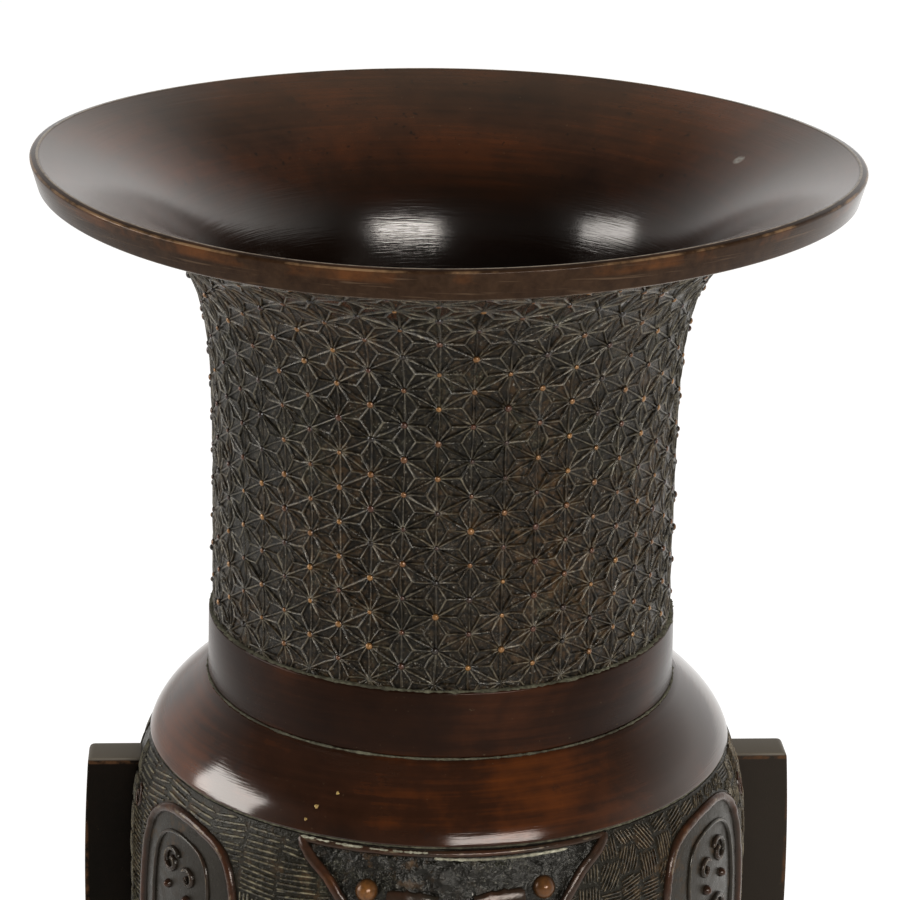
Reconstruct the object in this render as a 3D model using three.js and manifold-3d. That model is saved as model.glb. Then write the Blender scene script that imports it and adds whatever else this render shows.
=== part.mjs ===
// Bronze gu vase in the archaic beaker form: a trumpet mouth on a straight patterned neck, a plain
// collar and a rounded shoulder, a barrel drum with a mask and two side flanges, and a flared foot.
// It is cast in sections. The neck and the foot plug into the shoulders, the drum's ends step into
// them, a plate closes the foot, and rivets set from inside the drum hold the flanges.
// Units are millimetres, +Z is up, and the origin is the centre of the foot's resting face.

import * as THREE from 'three';
import { mergeVertices } from 'three/addons/utils/BufferGeometryUtils.js';
import Module from 'manifold-3d';

const wasm = await Module();
wasm.setup();

// Heights of the bands, from the table up
const footBandHeight = 12;
const footFlareHeight = 91;
const footCollarHeight = 18;
const shoulderHeight = 20;
const drumHeight = 115;
const neckCollarHeight = 21;
const neckHeight = 136.8;
const lipHeight = 9;

// Mouth and neck
const mouthRadius = 125;
const lipRimWidth = 2.4;
const lipRimFall = 0.5;
const lipTaper = 2.4;
const lipFilletHeight = 2.6;
const neckRadius = 71.2;
const neckSpread = 0.5;
const neckWall = 4.6;
const neckFlareReach = 47.5;
const mouthFlareLength = 14.8;
const mouthFlareLengthInside = 18.4;

// The mouth isn't level. Each wave has its number of crests round the rim, half of its height, and
// the angle of a crest. The waves die away between two depths below the mouth's top.
const rimWaves = [
  { crests: 1, rise: 0.52, crestAt: -28 },
  { crests: 2, rise: 1, crestAt: 72 },
  { crests: 3, rise: 0.69, crestAt: 43 },
];
const rimWaveFullDepth = 11;
const rimWaveEndDepth = 48;

// Collars and the spigots that plug into the shoulders
const collarStep = 1.8;
const seatWidth = 3;
const spigotHeight = 8;
const spigotRelief = 1;

// Shoulders and drum
const shoulderRadius = 91.5;
const shoulderCrownInset = 2.2;
const shoulderCrownHeight = 8.9;
const shoulderLedge = 0.8;
const drumBelly = 7.1;
const drumBellyPower = 4.5;
const bodyWall = 4.6;
const registerHeight = 1.5;

// Foot and the plate that closes it
const footRadius = 93;
const footBandTaper = 1;
const footBandStep = 1;
const footFlareLength = 28;
const footRimWidth = 7.5;
const plateLedgeWidth = 3.5;
const plateLedgeHeight = 12;
const plateThickness = 3.5;

// Hemp-leaf pattern of the neck and foot: stars in columns, joined by ridges with sunk leaves between
const starColumns = 46;
const starColumnAt = 3;
const starPitch = 10.6;
const neckStarHeight = 336.5;
const footStarHeight = 60;
const leafDepth = 0.66;
const patternBedding = 1.3;
const patternDepth = 2.5;

// Half of the drum's mask, as [degrees from its front, height from the table]. The mask is on the
// front and the back, and its right side sits a little higher.
const maskBeads = {
  panelTop: { width: 1.8, height: 0.9, path: [[-1, 254.4], [14.5, 254.4], [29, 254.5]] },
  panelSide: { width: 2.8, height: 1.5, path: [[29.6, 254.4], [23.2, 245.6], [17.6, 233.2], [12.6, 222.6]] },
  forehead: { width: 8.2, height: 1.4, path: [[3.2, 239.2], [12.2, 240.4]] },
  bridge: { width: 3.2, height: 1.5, path: [[3.6, 233], [2.7, 206], [3.6, 177]] },
  nose: {
    width: 2.5, height: 1.8,
    path: [[12.6, 222.6], [8.2, 212], [7.2, 196], [9.8, 181], [15.4, 174.6], [16.4, 167.6]],
  },
  ear: {
    width: 2.5, height: 1.7,
    path: [
      [41.6, 218], [42.2, 234], [46.4, 245], [55.4, 248.7], [64.3, 247.2], [69.4, 238], [71.4, 216],
      [70.4, 198.4], [63.6, 193.6], [56.8, 199.4],
    ],
  },
  brow: { width: 3.6, height: 2, path: [[17, 226.5], [24, 230], [32.6, 228.4], [38.4, 221], [38.6, 211.4]] },
  eyeRim: {
    width: 2.2, height: 1.7, closed: true,
    path: [[19.4, 203.8], [23.8, 212.2], [29.4, 215.6], [35.6, 213], [39.6, 206.4], [34.6, 199.6], [26, 198]],
  },
  lip: {
    width: 2.8, height: 1.9,
    path: [[-1, 160.6], [16, 160.2], [29, 161], [38.4, 168.4], [39.6, 178], [33, 181.4]],
  },
  jaw: { width: 2.2, height: 1.4, path: [[-1, 149.4], [20, 149.6], [37, 152.2], [47.8, 161], [47.6, 174.6]] },
  innerFang: { width: 3.4, height: 1.4, path: [[11.4, 159.4], [13, 152.6]] },
  outerFang: { width: 3.4, height: 1.4, path: [[22.4, 159.4], [24, 153.4]] },
  cheek: {
    width: 2.6, height: 1.7,
    path: [[49.2, 184], [55.4, 176], [62.6, 173], [69.6, 167.6], [71.2, 157], [64.4, 150], [57.4, 154.6]],
  },
};
const maskBosses = {
  panel: { at: [15.8, 243.2], radius: 3.5, height: 3.2 },
  eye: { at: [29.4, 206.6], radius: 5.4, height: 4.2 },
};
const maskLean = 1.1;
const maskFootDepth = 0.7;

// Flanges and their rivets
const flangeThickness = 12;
const flangeReach = 15;
const flangeBow = 1.8;
const flangeInset = 9;
const flangeCornerRadius = 3;
const rivetShankRadius = 3;
const rivetHeadRadius = 6;
const rivetHeadHeight = 3;
const rivetGrip = 8;
const rivetInset = 22;

// Gap left between castings for solder, and round the rivets
const jointGap = 0.3;

// Fineness of the round surfaces
const turnSegments = 64;
const rivetSegments = 16;
const flareSteps = 11;
const shoulderSteps = 5;
const drumSteps = 10;
const drumCrowding = 0.6;
const footFlareSteps = 9;
const insideSteps = 8;
const bowSteps = 8;
const cornerSteps = 4;
const domeSteps = 3;
const bossSegments = 8;
const patternSteps = 400;
const rimSteps = 360;
const meshTolerance = 0.05;

// Levels
const footBandTop = footBandHeight;
const footFlareTop = footBandTop + footFlareHeight;
const bodyBottom = footFlareTop + footCollarHeight;
const drumBottom = bodyBottom + shoulderHeight;
const drumMiddle = drumBottom + drumHeight / 2;
const drumTop = drumBottom + drumHeight;
const bodyTop = drumTop + shoulderHeight;
const neckBottom = bodyTop + neckCollarHeight;
const lipBottom = neckBottom + neckHeight;
const mouthTop = lipBottom + lipHeight;

// Radii that follow from the sizes above
const throatRadius = neckRadius - neckWall;
const collarRadius = neckRadius + collarStep;
const socketRadius = collarRadius - seatWidth;
const spigotRadius = socketRadius - jointGap;
const drumEndRadius = shoulderRadius - shoulderLedge;
const drumRadius = drumEndRadius + drumBelly;
const drumMouthRadius = drumEndRadius - bodyWall;
const rebateRadius = drumEndRadius - bodyWall / 2;
const registerRadius = rebateRadius - jointGap;
const plateSeatRadius = footRadius - footRimWidth;
const flangeHalfHeight = drumHeight / 2 - flangeInset;

const bronze = {
  neck: { color: 0x3f3029, roughness: 0.46, metalness: 0.75 },
  body: { color: 0x35291f, roughness: 0.42, metalness: 0.75 },
  foot: { color: 0x3a2e26, roughness: 0.48, metalness: 0.75 },
  flange: { color: 0x241c17, roughness: 0.5, metalness: 0.7 },
  plate: { color: 0x46382b, roughness: 0.6, metalness: 0.65 },
  rivet: { color: 0x5a4430, roughness: 0.5, metalness: 0.75 },
};

const vase = new THREE.Group();

function addPiece(name, geometry, finish, parent = vase) {
  const mesh = new THREE.Mesh(geometry, new THREE.MeshStandardMaterial(finish));
  mesh.name = name;
  parent.add(mesh);
  return mesh;
}

// A closed body with only positions, its shared vertices merged
function merged(geometry) {
  geometry.deleteAttribute('normal');
  geometry.deleteAttribute('uv');
  return mergeVertices(geometry);
}

function solidOf(geometry) {
  const mesh = new wasm.Mesh({
    numProp: 3,
    vertProperties: new Float32Array(geometry.attributes.position.array),
    triVerts: new Uint32Array(geometry.index.array),
  });
  return new wasm.Manifold(mesh);
}

function geometryOf(solid) {
  const mesh = solid.getMesh();
  const geometry = new THREE.BufferGeometry();
  geometry.setAttribute('position', new THREE.BufferAttribute(mesh.vertProperties, 3));
  geometry.setIndex(new THREE.BufferAttribute(mesh.triVerts, 1));
  return geometry;
}

function drilled(geometry, drills) {
  const solid = drills.reduce((rest, drill) => rest.subtract(solidOf(drill)), solidOf(geometry));
  return geometryOf(solid);
}

function joined(...geometries) {
  return geometryOf(wasm.Manifold.union(geometries.map(solidOf)).asOriginal().simplify(meshTolerance));
}

function indexed(points, triangles) {
  const geometry = new THREE.BufferGeometry();
  geometry.setAttribute('position', new THREE.Float32BufferAttribute(points.flat(), 3));
  geometry.setIndex(triangles.flat());
  return geometry;
}

// Point at an angle in degrees from the front, towards +X
function around(radius, degrees, height) {
  const angle = THREE.MathUtils.degToRad(degrees);
  return [radius * Math.sin(angle), -radius * Math.cos(angle), height];
}

// Turns a profile of [radius, height] points about +Z. A ring's profile closes on itself.
function turned(profile, segments = turnSegments) {
  const points = profile.map(([radius, height]) => new THREE.Vector2(radius, height));
  return merged(new THREE.LatheGeometry(points, segments).rotateX(Math.PI / 2));
}

function turnedRing(profile) {
  return turned([...profile, profile[0]]);
}

// Places from 0 to 1. A power above 1 crowds them towards 0.
function steps(count, power = 1) {
  return Array.from({ length: count + 1 }, (_, i) => (i / count) ** power);
}

// Radius of a bell that opens by reach at its edge and dies away into a straight tube
function bell(tube, reach, length, fromEdge) {
  return tube + reach * Math.exp(-fromEdge / length);
}

// Outside of the neck at a distance below the lip
function neckOutside(below) {
  const spread = neckSpread * (below / neckHeight) ** 2;
  return bell(neckRadius, neckFlareReach, mouthFlareLength, below) + spread;
}

function neckInside(below) {
  const reach = mouthRadius - lipRimWidth - throatRadius;
  return bell(throatRadius, reach, mouthFlareLengthInside, below);
}

function rimWave(angle) {
  return rimWaves.reduce((sum, { crests, rise, crestAt }) => {
    const fromCrest = angle - THREE.MathUtils.degToRad(crestAt);
    return sum + rise * Math.cos(crests * fromCrest);
  }, 0);
}

const rimWaveCrest = Math.max(...steps(rimSteps).map((share) => rimWave(share * 2 * Math.PI)));

// Lowers the mouth of the neck's casting by its waves, so that their highest crest keeps its height
function waved(geometry) {
  const points = geometry.attributes.position;
  for (let i = 0; i < points.count; i += 1) {
    const [x, y, z] = [points.getX(i), points.getY(i), points.getZ(i)];
    const fall = rimWaveCrest - rimWave(Math.atan2(x, -y));
    const share = THREE.MathUtils.smoothstep(z, mouthTop - rimWaveEndDepth, mouthTop - rimWaveFullDepth);
    points.setZ(i, z - fall * share);
  }
  return geometry;
}

// Outside and inside of the foot at a height above its band and above the plate's ledge
function footOutside(above) {
  const reach = footRadius - footBandTaper - footBandStep - neckRadius;
  return bell(neckRadius, reach, footFlareLength, above);
}

function footInside(above) {
  const reach = plateSeatRadius - plateLedgeWidth - throatRadius;
  return bell(throatRadius, reach, footFlareLength, above);
}

// The drum's barrel: its radius at a distance above or below its middle
function drumOutside(fromMiddle) {
  const share = Math.abs(fromMiddle) / (drumHeight / 2);
  return drumRadius - drumBelly * share ** drumBellyPower;
}

// The drum's wall from bottom to top, with more points where it turns in to the shoulders
function barrelPoints(count, wall) {
  return steps(count)
    .map((share) => 2 * share - 1)
    .map((share) => Math.sign(share) * Math.abs(share) ** drumCrowding)
    .map((share) => share * drumHeight / 2)
    .map((height) => [drumOutside(height) - wall, drumMiddle + height]);
}

// Shoulder curve from its lower edge up to the collar, as [radius, height above the edge]
function shoulderPoints(edgeRadius, crownInset, crownHeight, topRadius, topHeight, count) {
  const curve = new THREE.QuadraticBezierCurve(
    new THREE.Vector2(edgeRadius, 0),
    new THREE.Vector2(edgeRadius - crownInset, crownHeight),
    new THREE.Vector2(topRadius, topHeight),
  );
  return curve.getPoints(count).map((point) => [point.x, point.y]);
}

// Table of heights up a turned surface and of the star pitches below each. The pitch swells with the
// radius, so the stars keep their shape.
function pitchTable(radiusAt, low, high) {
  const table = [{ height: low, pitches: 0 }];
  for (const share of steps(patternSteps).slice(1)) {
    const last = table[table.length - 1];
    const height = low + (high - low) * share;
    const run = Math.hypot(height - last.height, radiusAt(height) - radiusAt(last.height));
    const pitch = starPitch * radiusAt((height + last.height) / 2) / neckRadius;
    table.push({ height, pitches: last.pitches + run / pitch });
  }
  return table;
}

function looked(table, from, to, value) {
  const end = table.findIndex((row) => row[from] >= value);
  if (end < 1) return table[end < 0 ? table.length - 1 : 0][to];
  const [a, b] = [table[end - 1], table[end]];
  return a[to] + (b[to] - a[to]) * (value - a[from]) / (b[from] - a[from]);
}

// Closed sleeve round a casting whose outside is a lattice of ridges from star to star, with the
// middle of each triangle sunk. Its inside and its ends lie within the casting.
function patternSleeve(radiusAt, low, high, starHeight) {
  const table = pitchTable(radiusAt, low, high);
  const start = looked(table, 'height', 'pitches', starHeight);
  const rowHeight = (row) => looked(table, 'pitches', 'height', start + row / 2);
  const first = Math.floor(-2 * start);
  const last = Math.ceil(2 * (table[table.length - 1].pitches - start));
  const points = [];
  const places = new Map();
  const place = (column, row, depth) => {
    const key = [column % starColumns, row, depth].join();
    if (!places.has(key)) {
      const height = rowHeight(row);
      const degrees = starColumnAt + column * 360 / starColumns;
      places.set(key, points.push(around(radiusAt(height) - depth, degrees, height)) - 1);
    }
    return places.get(key);
  };
  const sunk = (corners) => {
    const [x, y, z] = [0, 1, 2].map((axis) => corners.reduce((sum, i) => sum + points[i][axis], 0) / 3);
    const shrink = 1 - leafDepth / Math.hypot(x, y);
    return points.push([x * shrink, y * shrink, z]) - 1;
  };
  const triangles = [];
  for (let column = 0; column < starColumns; column += 1) {
    for (let row = first; row <= last - 2; row += 1) {
      const corners = (column + row) % 2 === 0
        ? [[column, row], [column + 1, row + 1], [column, row + 2]]
        : [[column, row + 1], [column + 1, row], [column + 1, row + 2]];
      const [a, b, c] = corners.map(([i, j]) => place(i, j, 0));
      const middle = sunk([a, b, c]);
      triangles.push([a, b, middle], [b, c, middle], [c, a, middle]);
      triangles.push(corners.map(([i, j]) => place(i, j, patternDepth)).reverse());
    }
    for (const [row, flip] of [[first, false], [last - 1, true]]) {
      const odd = (column + row) % 2 === 0 ? 0 : 1;
      const [i, j] = [[column, row + odd], [column + 1, row + 1 - odd]];
      const [a, b] = [place(...j, 0), place(...i, 0)];
      const [c, d] = [place(...i, patternDepth), place(...j, patternDepth)];
      triangles.push(...(flip ? [[b, a, d], [b, d, c]] : [[a, b, c], [a, c, d]]));
    }
  }
  return indexed(points, triangles);
}

// Mouth, neck and neck collar, one casting with a spigot below
function neckCasting() {
  const spigotBottom = bodyTop - spigotHeight;
  const outside = steps(flareSteps, 2)
    .map((share) => lipFilletHeight + share * (neckHeight - lipFilletHeight))
    .map((below) => [neckOutside(below) - patternBedding, lipBottom - below]);
  const insideDepth = mouthTop - spigotBottom;
  const inside = steps(flareSteps, 2)
    .map((share) => share * insideDepth)
    .map((below) => [neckInside(below), mouthTop - below]);
  const casting = turnedRing([
    [spigotRadius, spigotBottom],
    [spigotRadius, bodyTop + jointGap],
    [collarRadius, bodyTop + jointGap],
    [collarRadius, neckBottom],
    ...outside.reverse(),
    [mouthRadius - lipTaper, lipBottom],
    [mouthRadius, mouthTop - lipRimFall],
    ...inside,
  ]);
  const radiusAt = (height) => neckOutside(lipBottom - height);
  const low = neckBottom - neckCollarHeight / 2;
  return waved(joined(casting, patternSleeve(radiusAt, low, lipBottom, neckStarHeight)));
}

// Shoulder with its lower edge at height 0, a ring with a socket above and a rebate for the drum
// below. Turned over, it is the shoulder below the drum.
function shoulderCasting() {
  const outside = shoulderPoints(
    shoulderRadius, shoulderCrownInset, shoulderCrownHeight, collarRadius, shoulderHeight, shoulderSteps,
  );
  const socketDepth = spigotHeight + spigotRelief;
  const inside = shoulderPoints(
    drumMouthRadius, shoulderCrownInset, shoulderCrownHeight - bodyWall,
    socketRadius, shoulderHeight - socketDepth, insideSteps / 2,
  );
  const rebateHeight = registerHeight + jointGap;
  return turnedRing([
    [rebateRadius, jointGap],
    [shoulderRadius, jointGap],
    ...outside.slice(1),
    [socketRadius, shoulderHeight],
    ...inside.slice(1).reverse(),
    [drumMouthRadius, rebateHeight],
    [rebateRadius, rebateHeight],
  ]);
}

// Point on the drum, or lift above it, for a place on the mask
function onDrum(degrees, height, lift) {
  const share = Math.abs(height - drumMiddle) / (drumHeight / 2);
  const leaning = height + maskLean * Math.sin(THREE.MathUtils.degToRad(degrees)) * (1 - share ** 8);
  return around(drumOutside(leaning - drumMiddle) + lift, degrees, leaning);
}

// Bead on the drum along a path of [degrees, height], in section a low trapezium
function bead({ path, width, height, closed = false }) {
  const perDegree = drumRadius * Math.PI / 180;
  const flat = path.map(([degrees, level]) => new THREE.Vector2(degrees * perDegree, level));
  const count = flat.length;
  const section = [[-0.5, -maskFootDepth], [-0.26, height], [0.26, height], [0.5, -maskFootDepth]];
  const points = flat.flatMap((spot, i) => {
    const before = flat[closed ? (i + count - 1) % count : Math.max(i - 1, 0)];
    const after = flat[closed ? (i + 1) % count : Math.min(i + 1, count - 1)];
    const ahead = after.clone().sub(before).normalize();
    const bend = before.clone().sub(spot).angleTo(after.clone().sub(spot));
    const miter = spot === before || spot === after ? 1 : 1 / Math.max(Math.sin(bend / 2), 0.7);
    return section.map(([side, lift]) => {
      const reach = side * width * miter;
      return onDrum((spot.x - ahead.y * reach) / perDegree, spot.y + ahead.x * reach, lift);
    });
  });
  const triangles = [];
  for (let i = 0; i < (closed ? count : count - 1); i += 1) {
    for (let k = 0; k < 4; k += 1) {
      const [a, b] = [4 * i, 4 * ((i + 1) % count)];
      const next = (k + 1) % 4;
      triangles.push([a + k, b + k, b + next], [a + k, b + next, a + next]);
    }
  }
  if (!closed) {
    const end = 4 * (count - 1);
    triangles.push([0, 1, 2], [0, 2, 3], [end, end + 2, end + 1], [end, end + 3, end + 2]);
  }
  return indexed(points, triangles);
}

// Low dome on the drum
function boss({ at: [degrees, level], radius, height }) {
  const perDegree = drumRadius * Math.PI / 180;
  const ring = (share, lift) => Array.from({ length: bossSegments }, (_, i) => {
    const angle = i / bossSegments * 2 * Math.PI;
    const across = radius * share * Math.cos(angle) / perDegree;
    return onDrum(degrees + across, level + radius * share * Math.sin(angle), lift);
  });
  const points = [...ring(1, -maskFootDepth), ...ring(0.8, 0.62 * height)];
  const foot = points.push(onDrum(degrees, level, -maskFootDepth)) - 1;
  const crown = points.push(onDrum(degrees, level, height)) - 1;
  const triangles = [];
  for (let i = 0; i < bossSegments; i += 1) {
    const next = (i + 1) % bossSegments;
    const [a, b, c, d] = [i, next, bossSegments + i, bossSegments + next];
    triangles.push([a, b, d], [a, d, c], [c, d, crown], [b, a, foot]);
  }
  return indexed(points, triangles);
}

// The mask's relief, on the front and the back
function maskRelief() {
  const half = [...Object.values(maskBeads).map(bead), ...Object.values(maskBosses).map(boss)].map(solidOf);
  const front = half.flatMap((solid) => [solid, solid.mirror([1, 0, 0])]);
  return front.flatMap((solid) => [solid, solid.rotate(0, 0, 180)]).map(geometryOf);
}

// Drum, a barrel with a thin register at each end that steps into the shoulder's rebate
function drumCasting() {
  return turnedRing([
    [registerRadius, drumBottom - registerHeight],
    [registerRadius, drumBottom],
    ...barrelPoints(drumSteps, 0),
    [registerRadius, drumTop],
    [registerRadius, drumTop + registerHeight],
    [drumMouthRadius, drumTop + registerHeight],
    ...barrelPoints(insideSteps, bodyWall).reverse(),
    [drumMouthRadius, drumBottom - registerHeight],
  ]);
}

// Flared foot with its band and collar, one casting with a spigot above and a seat for the plate
function footCasting() {
  const spigotTop = bodyBottom + spigotHeight;
  const outside = steps(footFlareSteps)
    .map((share) => share * footFlareHeight)
    .map((above) => [footOutside(above) - patternBedding, footBandTop + above]);
  const insideHeight = spigotTop - plateLedgeHeight;
  const inside = steps(insideSteps)
    .map((share) => share * insideHeight)
    .map((above) => [footInside(above), plateLedgeHeight + above]);
  const casting = turnedRing([
    [plateSeatRadius, 0],
    [footRadius, 0],
    [footRadius - footBandTaper, footBandTop],
    ...outside,
    [collarRadius, footFlareTop],
    [collarRadius, bodyBottom - jointGap],
    [spigotRadius, bodyBottom - jointGap],
    [spigotRadius, spigotTop],
    ...inside.reverse(),
    [plateSeatRadius, plateLedgeHeight],
  ]);
  const radiusAt = (height) => footOutside(height - footBandTop);
  const low = footBandTop - footBandStep;
  const high = footFlareTop + footCollarHeight / 2;
  return joined(casting, patternSleeve(radiusAt, low, high, footStarHeight));
}

function basePlate() {
  const top = plateLedgeHeight - jointGap;
  const radius = plateSeatRadius - jointGap;
  return turned([[0, top - plateThickness], [radius, top - plateThickness], [radius, top], [0, top]]);
}

// A plate standing out along +X, whose inner edge follows the drum and whose outer edge bows out
function flangePlate() {
  const bowAt = (height) => {
    const share = height / flangeHalfHeight;
    return drumRadius + flangeReach - flangeBow * share ** 2;
  };
  const cornerHeight = flangeHalfHeight - flangeCornerRadius;
  const outline = new THREE.Shape();
  outline.moveTo(drumOutside(flangeHalfHeight) + jointGap, -flangeHalfHeight);
  outline.lineTo(bowAt(flangeHalfHeight) - flangeCornerRadius, -flangeHalfHeight);
  outline.quadraticCurveTo(bowAt(flangeHalfHeight), -flangeHalfHeight, bowAt(cornerHeight), -cornerHeight);
  for (const share of steps(bowSteps).slice(1)) {
    const height = (2 * share - 1) * cornerHeight;
    outline.lineTo(bowAt(height), height);
  }
  outline.quadraticCurveTo(
    bowAt(flangeHalfHeight), flangeHalfHeight,
    bowAt(flangeHalfHeight) - flangeCornerRadius, flangeHalfHeight,
  );
  for (const share of steps(drumSteps).slice(0, -1)) {
    const height = (1 - 2 * share) * flangeHalfHeight;
    outline.lineTo(drumOutside(height) + jointGap, height);
  }
  const plate = new THREE.ExtrudeGeometry(outline, {
    depth: flangeThickness,
    bevelEnabled: false,
    curveSegments: cornerSteps,
  });
  plate.rotateX(Math.PI / 2).translate(0, flangeThickness / 2, drumMiddle);
  return merged(plate);
}

// Rivet levels, above and below the middle of the drum
const rivetOffset = flangeHalfHeight - rivetInset;

// Inner face of the drum's wall where a rivet's head meets it, at its nearest under the whole head
function rivetSeat() {
  const wallRadius = drumOutside(rivetOffset + rivetHeadRadius) - bodyWall;
  const flatRadius = wallRadius * Math.cos(Math.PI / turnSegments);
  return Math.sqrt(flatRadius ** 2 - rivetHeadRadius ** 2) - jointGap;
}

const rivetTip = drumOutside(rivetOffset) + jointGap + rivetGrip;

// Rivet along +X with its domed head inside the drum
function rivet() {
  const seat = rivetSeat();
  const dome = steps(domeSteps).map((share) => {
    const angle = share * Math.PI / 2;
    return [rivetHeadRadius * Math.sin(angle), seat - rivetHeadHeight * Math.cos(angle)];
  });
  const profile = [...dome, [rivetShankRadius, seat], [rivetShankRadius, rivetTip], [0, rivetTip]];
  return turned(profile, rivetSegments).rotateY(Math.PI / 2);
}

// Drill for one rivet's hole through the drum's wall and into the flange, on the side that it faces
function rivetDrill(side, level) {
  const start = rivetSeat() - rivetHeadRadius;
  const end = rivetTip + jointGap;
  const radius = rivetShankRadius + jointGap;
  const drill = new THREE.CylinderGeometry(radius, radius, end - start, rivetSegments);
  drill.rotateZ(Math.PI / 2).translate(side * (start + end) / 2, 0, drumMiddle + level);
  return merged(drill);
}

const rivetLevels = { lower: -rivetOffset, upper: rivetOffset };
const sides = { right: 1, left: -1 };
const drumDrills = Object.values(sides).flatMap(
  (side) => Object.values(rivetLevels).map((level) => rivetDrill(side, level)),
);

addPiece('mouth_and_neck', neckCasting(), bronze.neck);
addPiece('upper_shoulder', shoulderCasting(), bronze.body).position.z = drumTop;
addPiece('drum', drilled(joined(drumCasting(), ...maskRelief()), drumDrills), bronze.body);
const lowerShoulder = addPiece('lower_shoulder', shoulderCasting(), bronze.body);
lowerShoulder.position.z = drumBottom;
lowerShoulder.rotation.x = Math.PI;
addPiece('foot', footCasting(), bronze.foot);
addPiece('base_plate', basePlate(), bronze.plate);

for (const [sideName, side] of Object.entries(sides)) {
  const group = new THREE.Group();
  group.rotation.z = side > 0 ? 0 : Math.PI;
  vase.add(group);
  const flangeDrills = Object.values(rivetLevels).map((level) => rivetDrill(sides.right, level));
  addPiece(`flange_${sideName}`, drilled(flangePlate(), flangeDrills), bronze.flange, group);
  for (const [levelName, level] of Object.entries(rivetLevels)) {
    const mesh = addPiece(`rivet_${sideName}_${levelName}`, rivet(), bronze.rivet, group);
    mesh.position.z = drumMiddle + level;
  }
}

export default vase;
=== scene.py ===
"""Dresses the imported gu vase: worn bronze castings, a hemp-leaf diaper on neck and foot, and a masked drum."""
import math
import random

import bmesh
import bpy
import numpy as np
from mathutils import Matrix, Vector


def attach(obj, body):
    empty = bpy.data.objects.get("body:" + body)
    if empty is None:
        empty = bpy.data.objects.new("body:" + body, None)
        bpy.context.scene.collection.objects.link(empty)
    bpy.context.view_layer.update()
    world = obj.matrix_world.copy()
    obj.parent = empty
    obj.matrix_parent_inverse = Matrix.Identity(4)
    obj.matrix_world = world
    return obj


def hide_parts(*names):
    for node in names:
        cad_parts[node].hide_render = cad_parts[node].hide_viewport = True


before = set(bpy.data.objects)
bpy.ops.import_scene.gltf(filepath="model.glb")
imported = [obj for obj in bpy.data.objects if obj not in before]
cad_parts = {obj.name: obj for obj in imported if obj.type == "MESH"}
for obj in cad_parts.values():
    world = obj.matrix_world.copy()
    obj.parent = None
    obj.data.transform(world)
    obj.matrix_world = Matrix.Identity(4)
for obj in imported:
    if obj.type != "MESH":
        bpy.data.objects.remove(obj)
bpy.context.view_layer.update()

MM = 0.001

# Heights of the CAD bands in millimetres, from the table up
FOOT_BAND_TOP = 12.0
FOOT_SPIGOT_TOP = 129.0
FOOT_FLARE_TOP = 103.0
BODY_BOTTOM = 121.0
DRUM_BOTTOM = 141.0
DRUM_MIDDLE = 198.5
DRUM_TOP = 256.0
BODY_TOP = 276.0
NECK_SPIGOT = 268.0
NECK_BOTTOM = 297.0
LIP_FOOT = 431.2
LIP_BOTTOM = 433.8
MOUTH_TOP = 442.8

# Radii of the CAD castings in millimetres
MOUTH_R = 125.0
LIP_INNER_R = 122.6
NECK_R = 71.2
THROAT_R = 66.6
COLLAR_R = 73.0
SPIGOT_R = 69.7
SOCKET_R = 70.0
SHOULDER_R = 91.5
DRUM_END_R = 90.7
DRUM_R = 97.8
FOOT_R = 93.0
FOOT_RING_R = 85.5

# Other measures of the castings in millimetres
BODY_WALL = 4.6
DRUM_HALF = 57.5
DIAPER_DEPTH = 1.1
FOOT_FLARE = 28.0
REGISTER = 1.5
SOLDER = 0.3
FLANGE_HALF = 6.0
FLANGE_RISE = 48.5
FLANGE_R = DRUM_R + 15.0

# The diaper: stars round the neck, their pitch up it, and where one stands
STAR_COLUMNS = 46
STAR_PITCH = 10.6
STAR_COLUMN_AT = 3.0
STAR_BOSS_AT = 336.5
BOSS_R = 1.12
RIDGE, RIDGE_HALF_WIDTH = 0.66, 0.46

# The rim isn't level: waves of (crests round it, height, degrees from the front to a crest), and where they fade out
RIM_WAVES = ((1, 0.52, -28.0), (2, 1.0, 72.0), (3, 0.69, 43.0))
WAVE_FROM, WAVE_FULL = 394.8, 431.8

SEGMENTS = 360


# ---------------------------------------------------------------- camera
CAMERA_TURN = 3.5


def make_camera():
    """The photo's camera: turned about the vase, distance away and height up, then pitched, yawed and rolled."""
    turn, pitch, yaw, roll = (math.radians(a) for a in (CAMERA_TURN, 19.0, 0.11, -1.06))
    distance, height, focal_pixels, frame_pixels = 0.957, 0.6769, 3278.0, 900.0
    ahead = Vector((math.sin(yaw) * math.cos(pitch), math.cos(yaw) * math.cos(pitch), -math.sin(pitch)))
    right = Vector((math.cos(yaw), -math.sin(yaw), 0.0))
    down = ahead.cross(right)
    across = math.cos(roll) * right + math.sin(roll) * down
    up = math.sin(roll) * right - math.cos(roll) * down
    axes = Matrix((across, up, -ahead)).transposed().to_4x4()
    place = Matrix.Translation((0.0, -distance, height)) @ axes
    data = bpy.data.cameras.new("photo_camera")
    data.sensor_width = 36.0
    data.sensor_fit = "HORIZONTAL"
    data.lens = focal_pixels / frame_pixels * data.sensor_width
    data.clip_start = 0.01
    camera = bpy.data.objects.new("photo_camera", data)
    camera.matrix_world = Matrix.Rotation(-turn, 4, "Z") @ place
    bpy.context.scene.collection.objects.link(camera)
    bpy.context.scene.camera = camera


make_camera()
bpy.context.scene.view_settings.view_transform = "Standard"


# ---------------------------------------------------------------- meshes
def add_object(name, vertices, faces, materials, indices=None, sharp=35.0):
    mesh = bpy.data.meshes.new(name)
    mesh.from_pydata([tuple(v) for v in np.asarray(vertices) * MM], [], faces)
    for m in materials:
        mesh.materials.append(m)
    if indices is not None:
        mesh.polygons.foreach_set("material_index", indices)
    mesh.validate()
    return placed(name, mesh, sharp)


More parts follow.
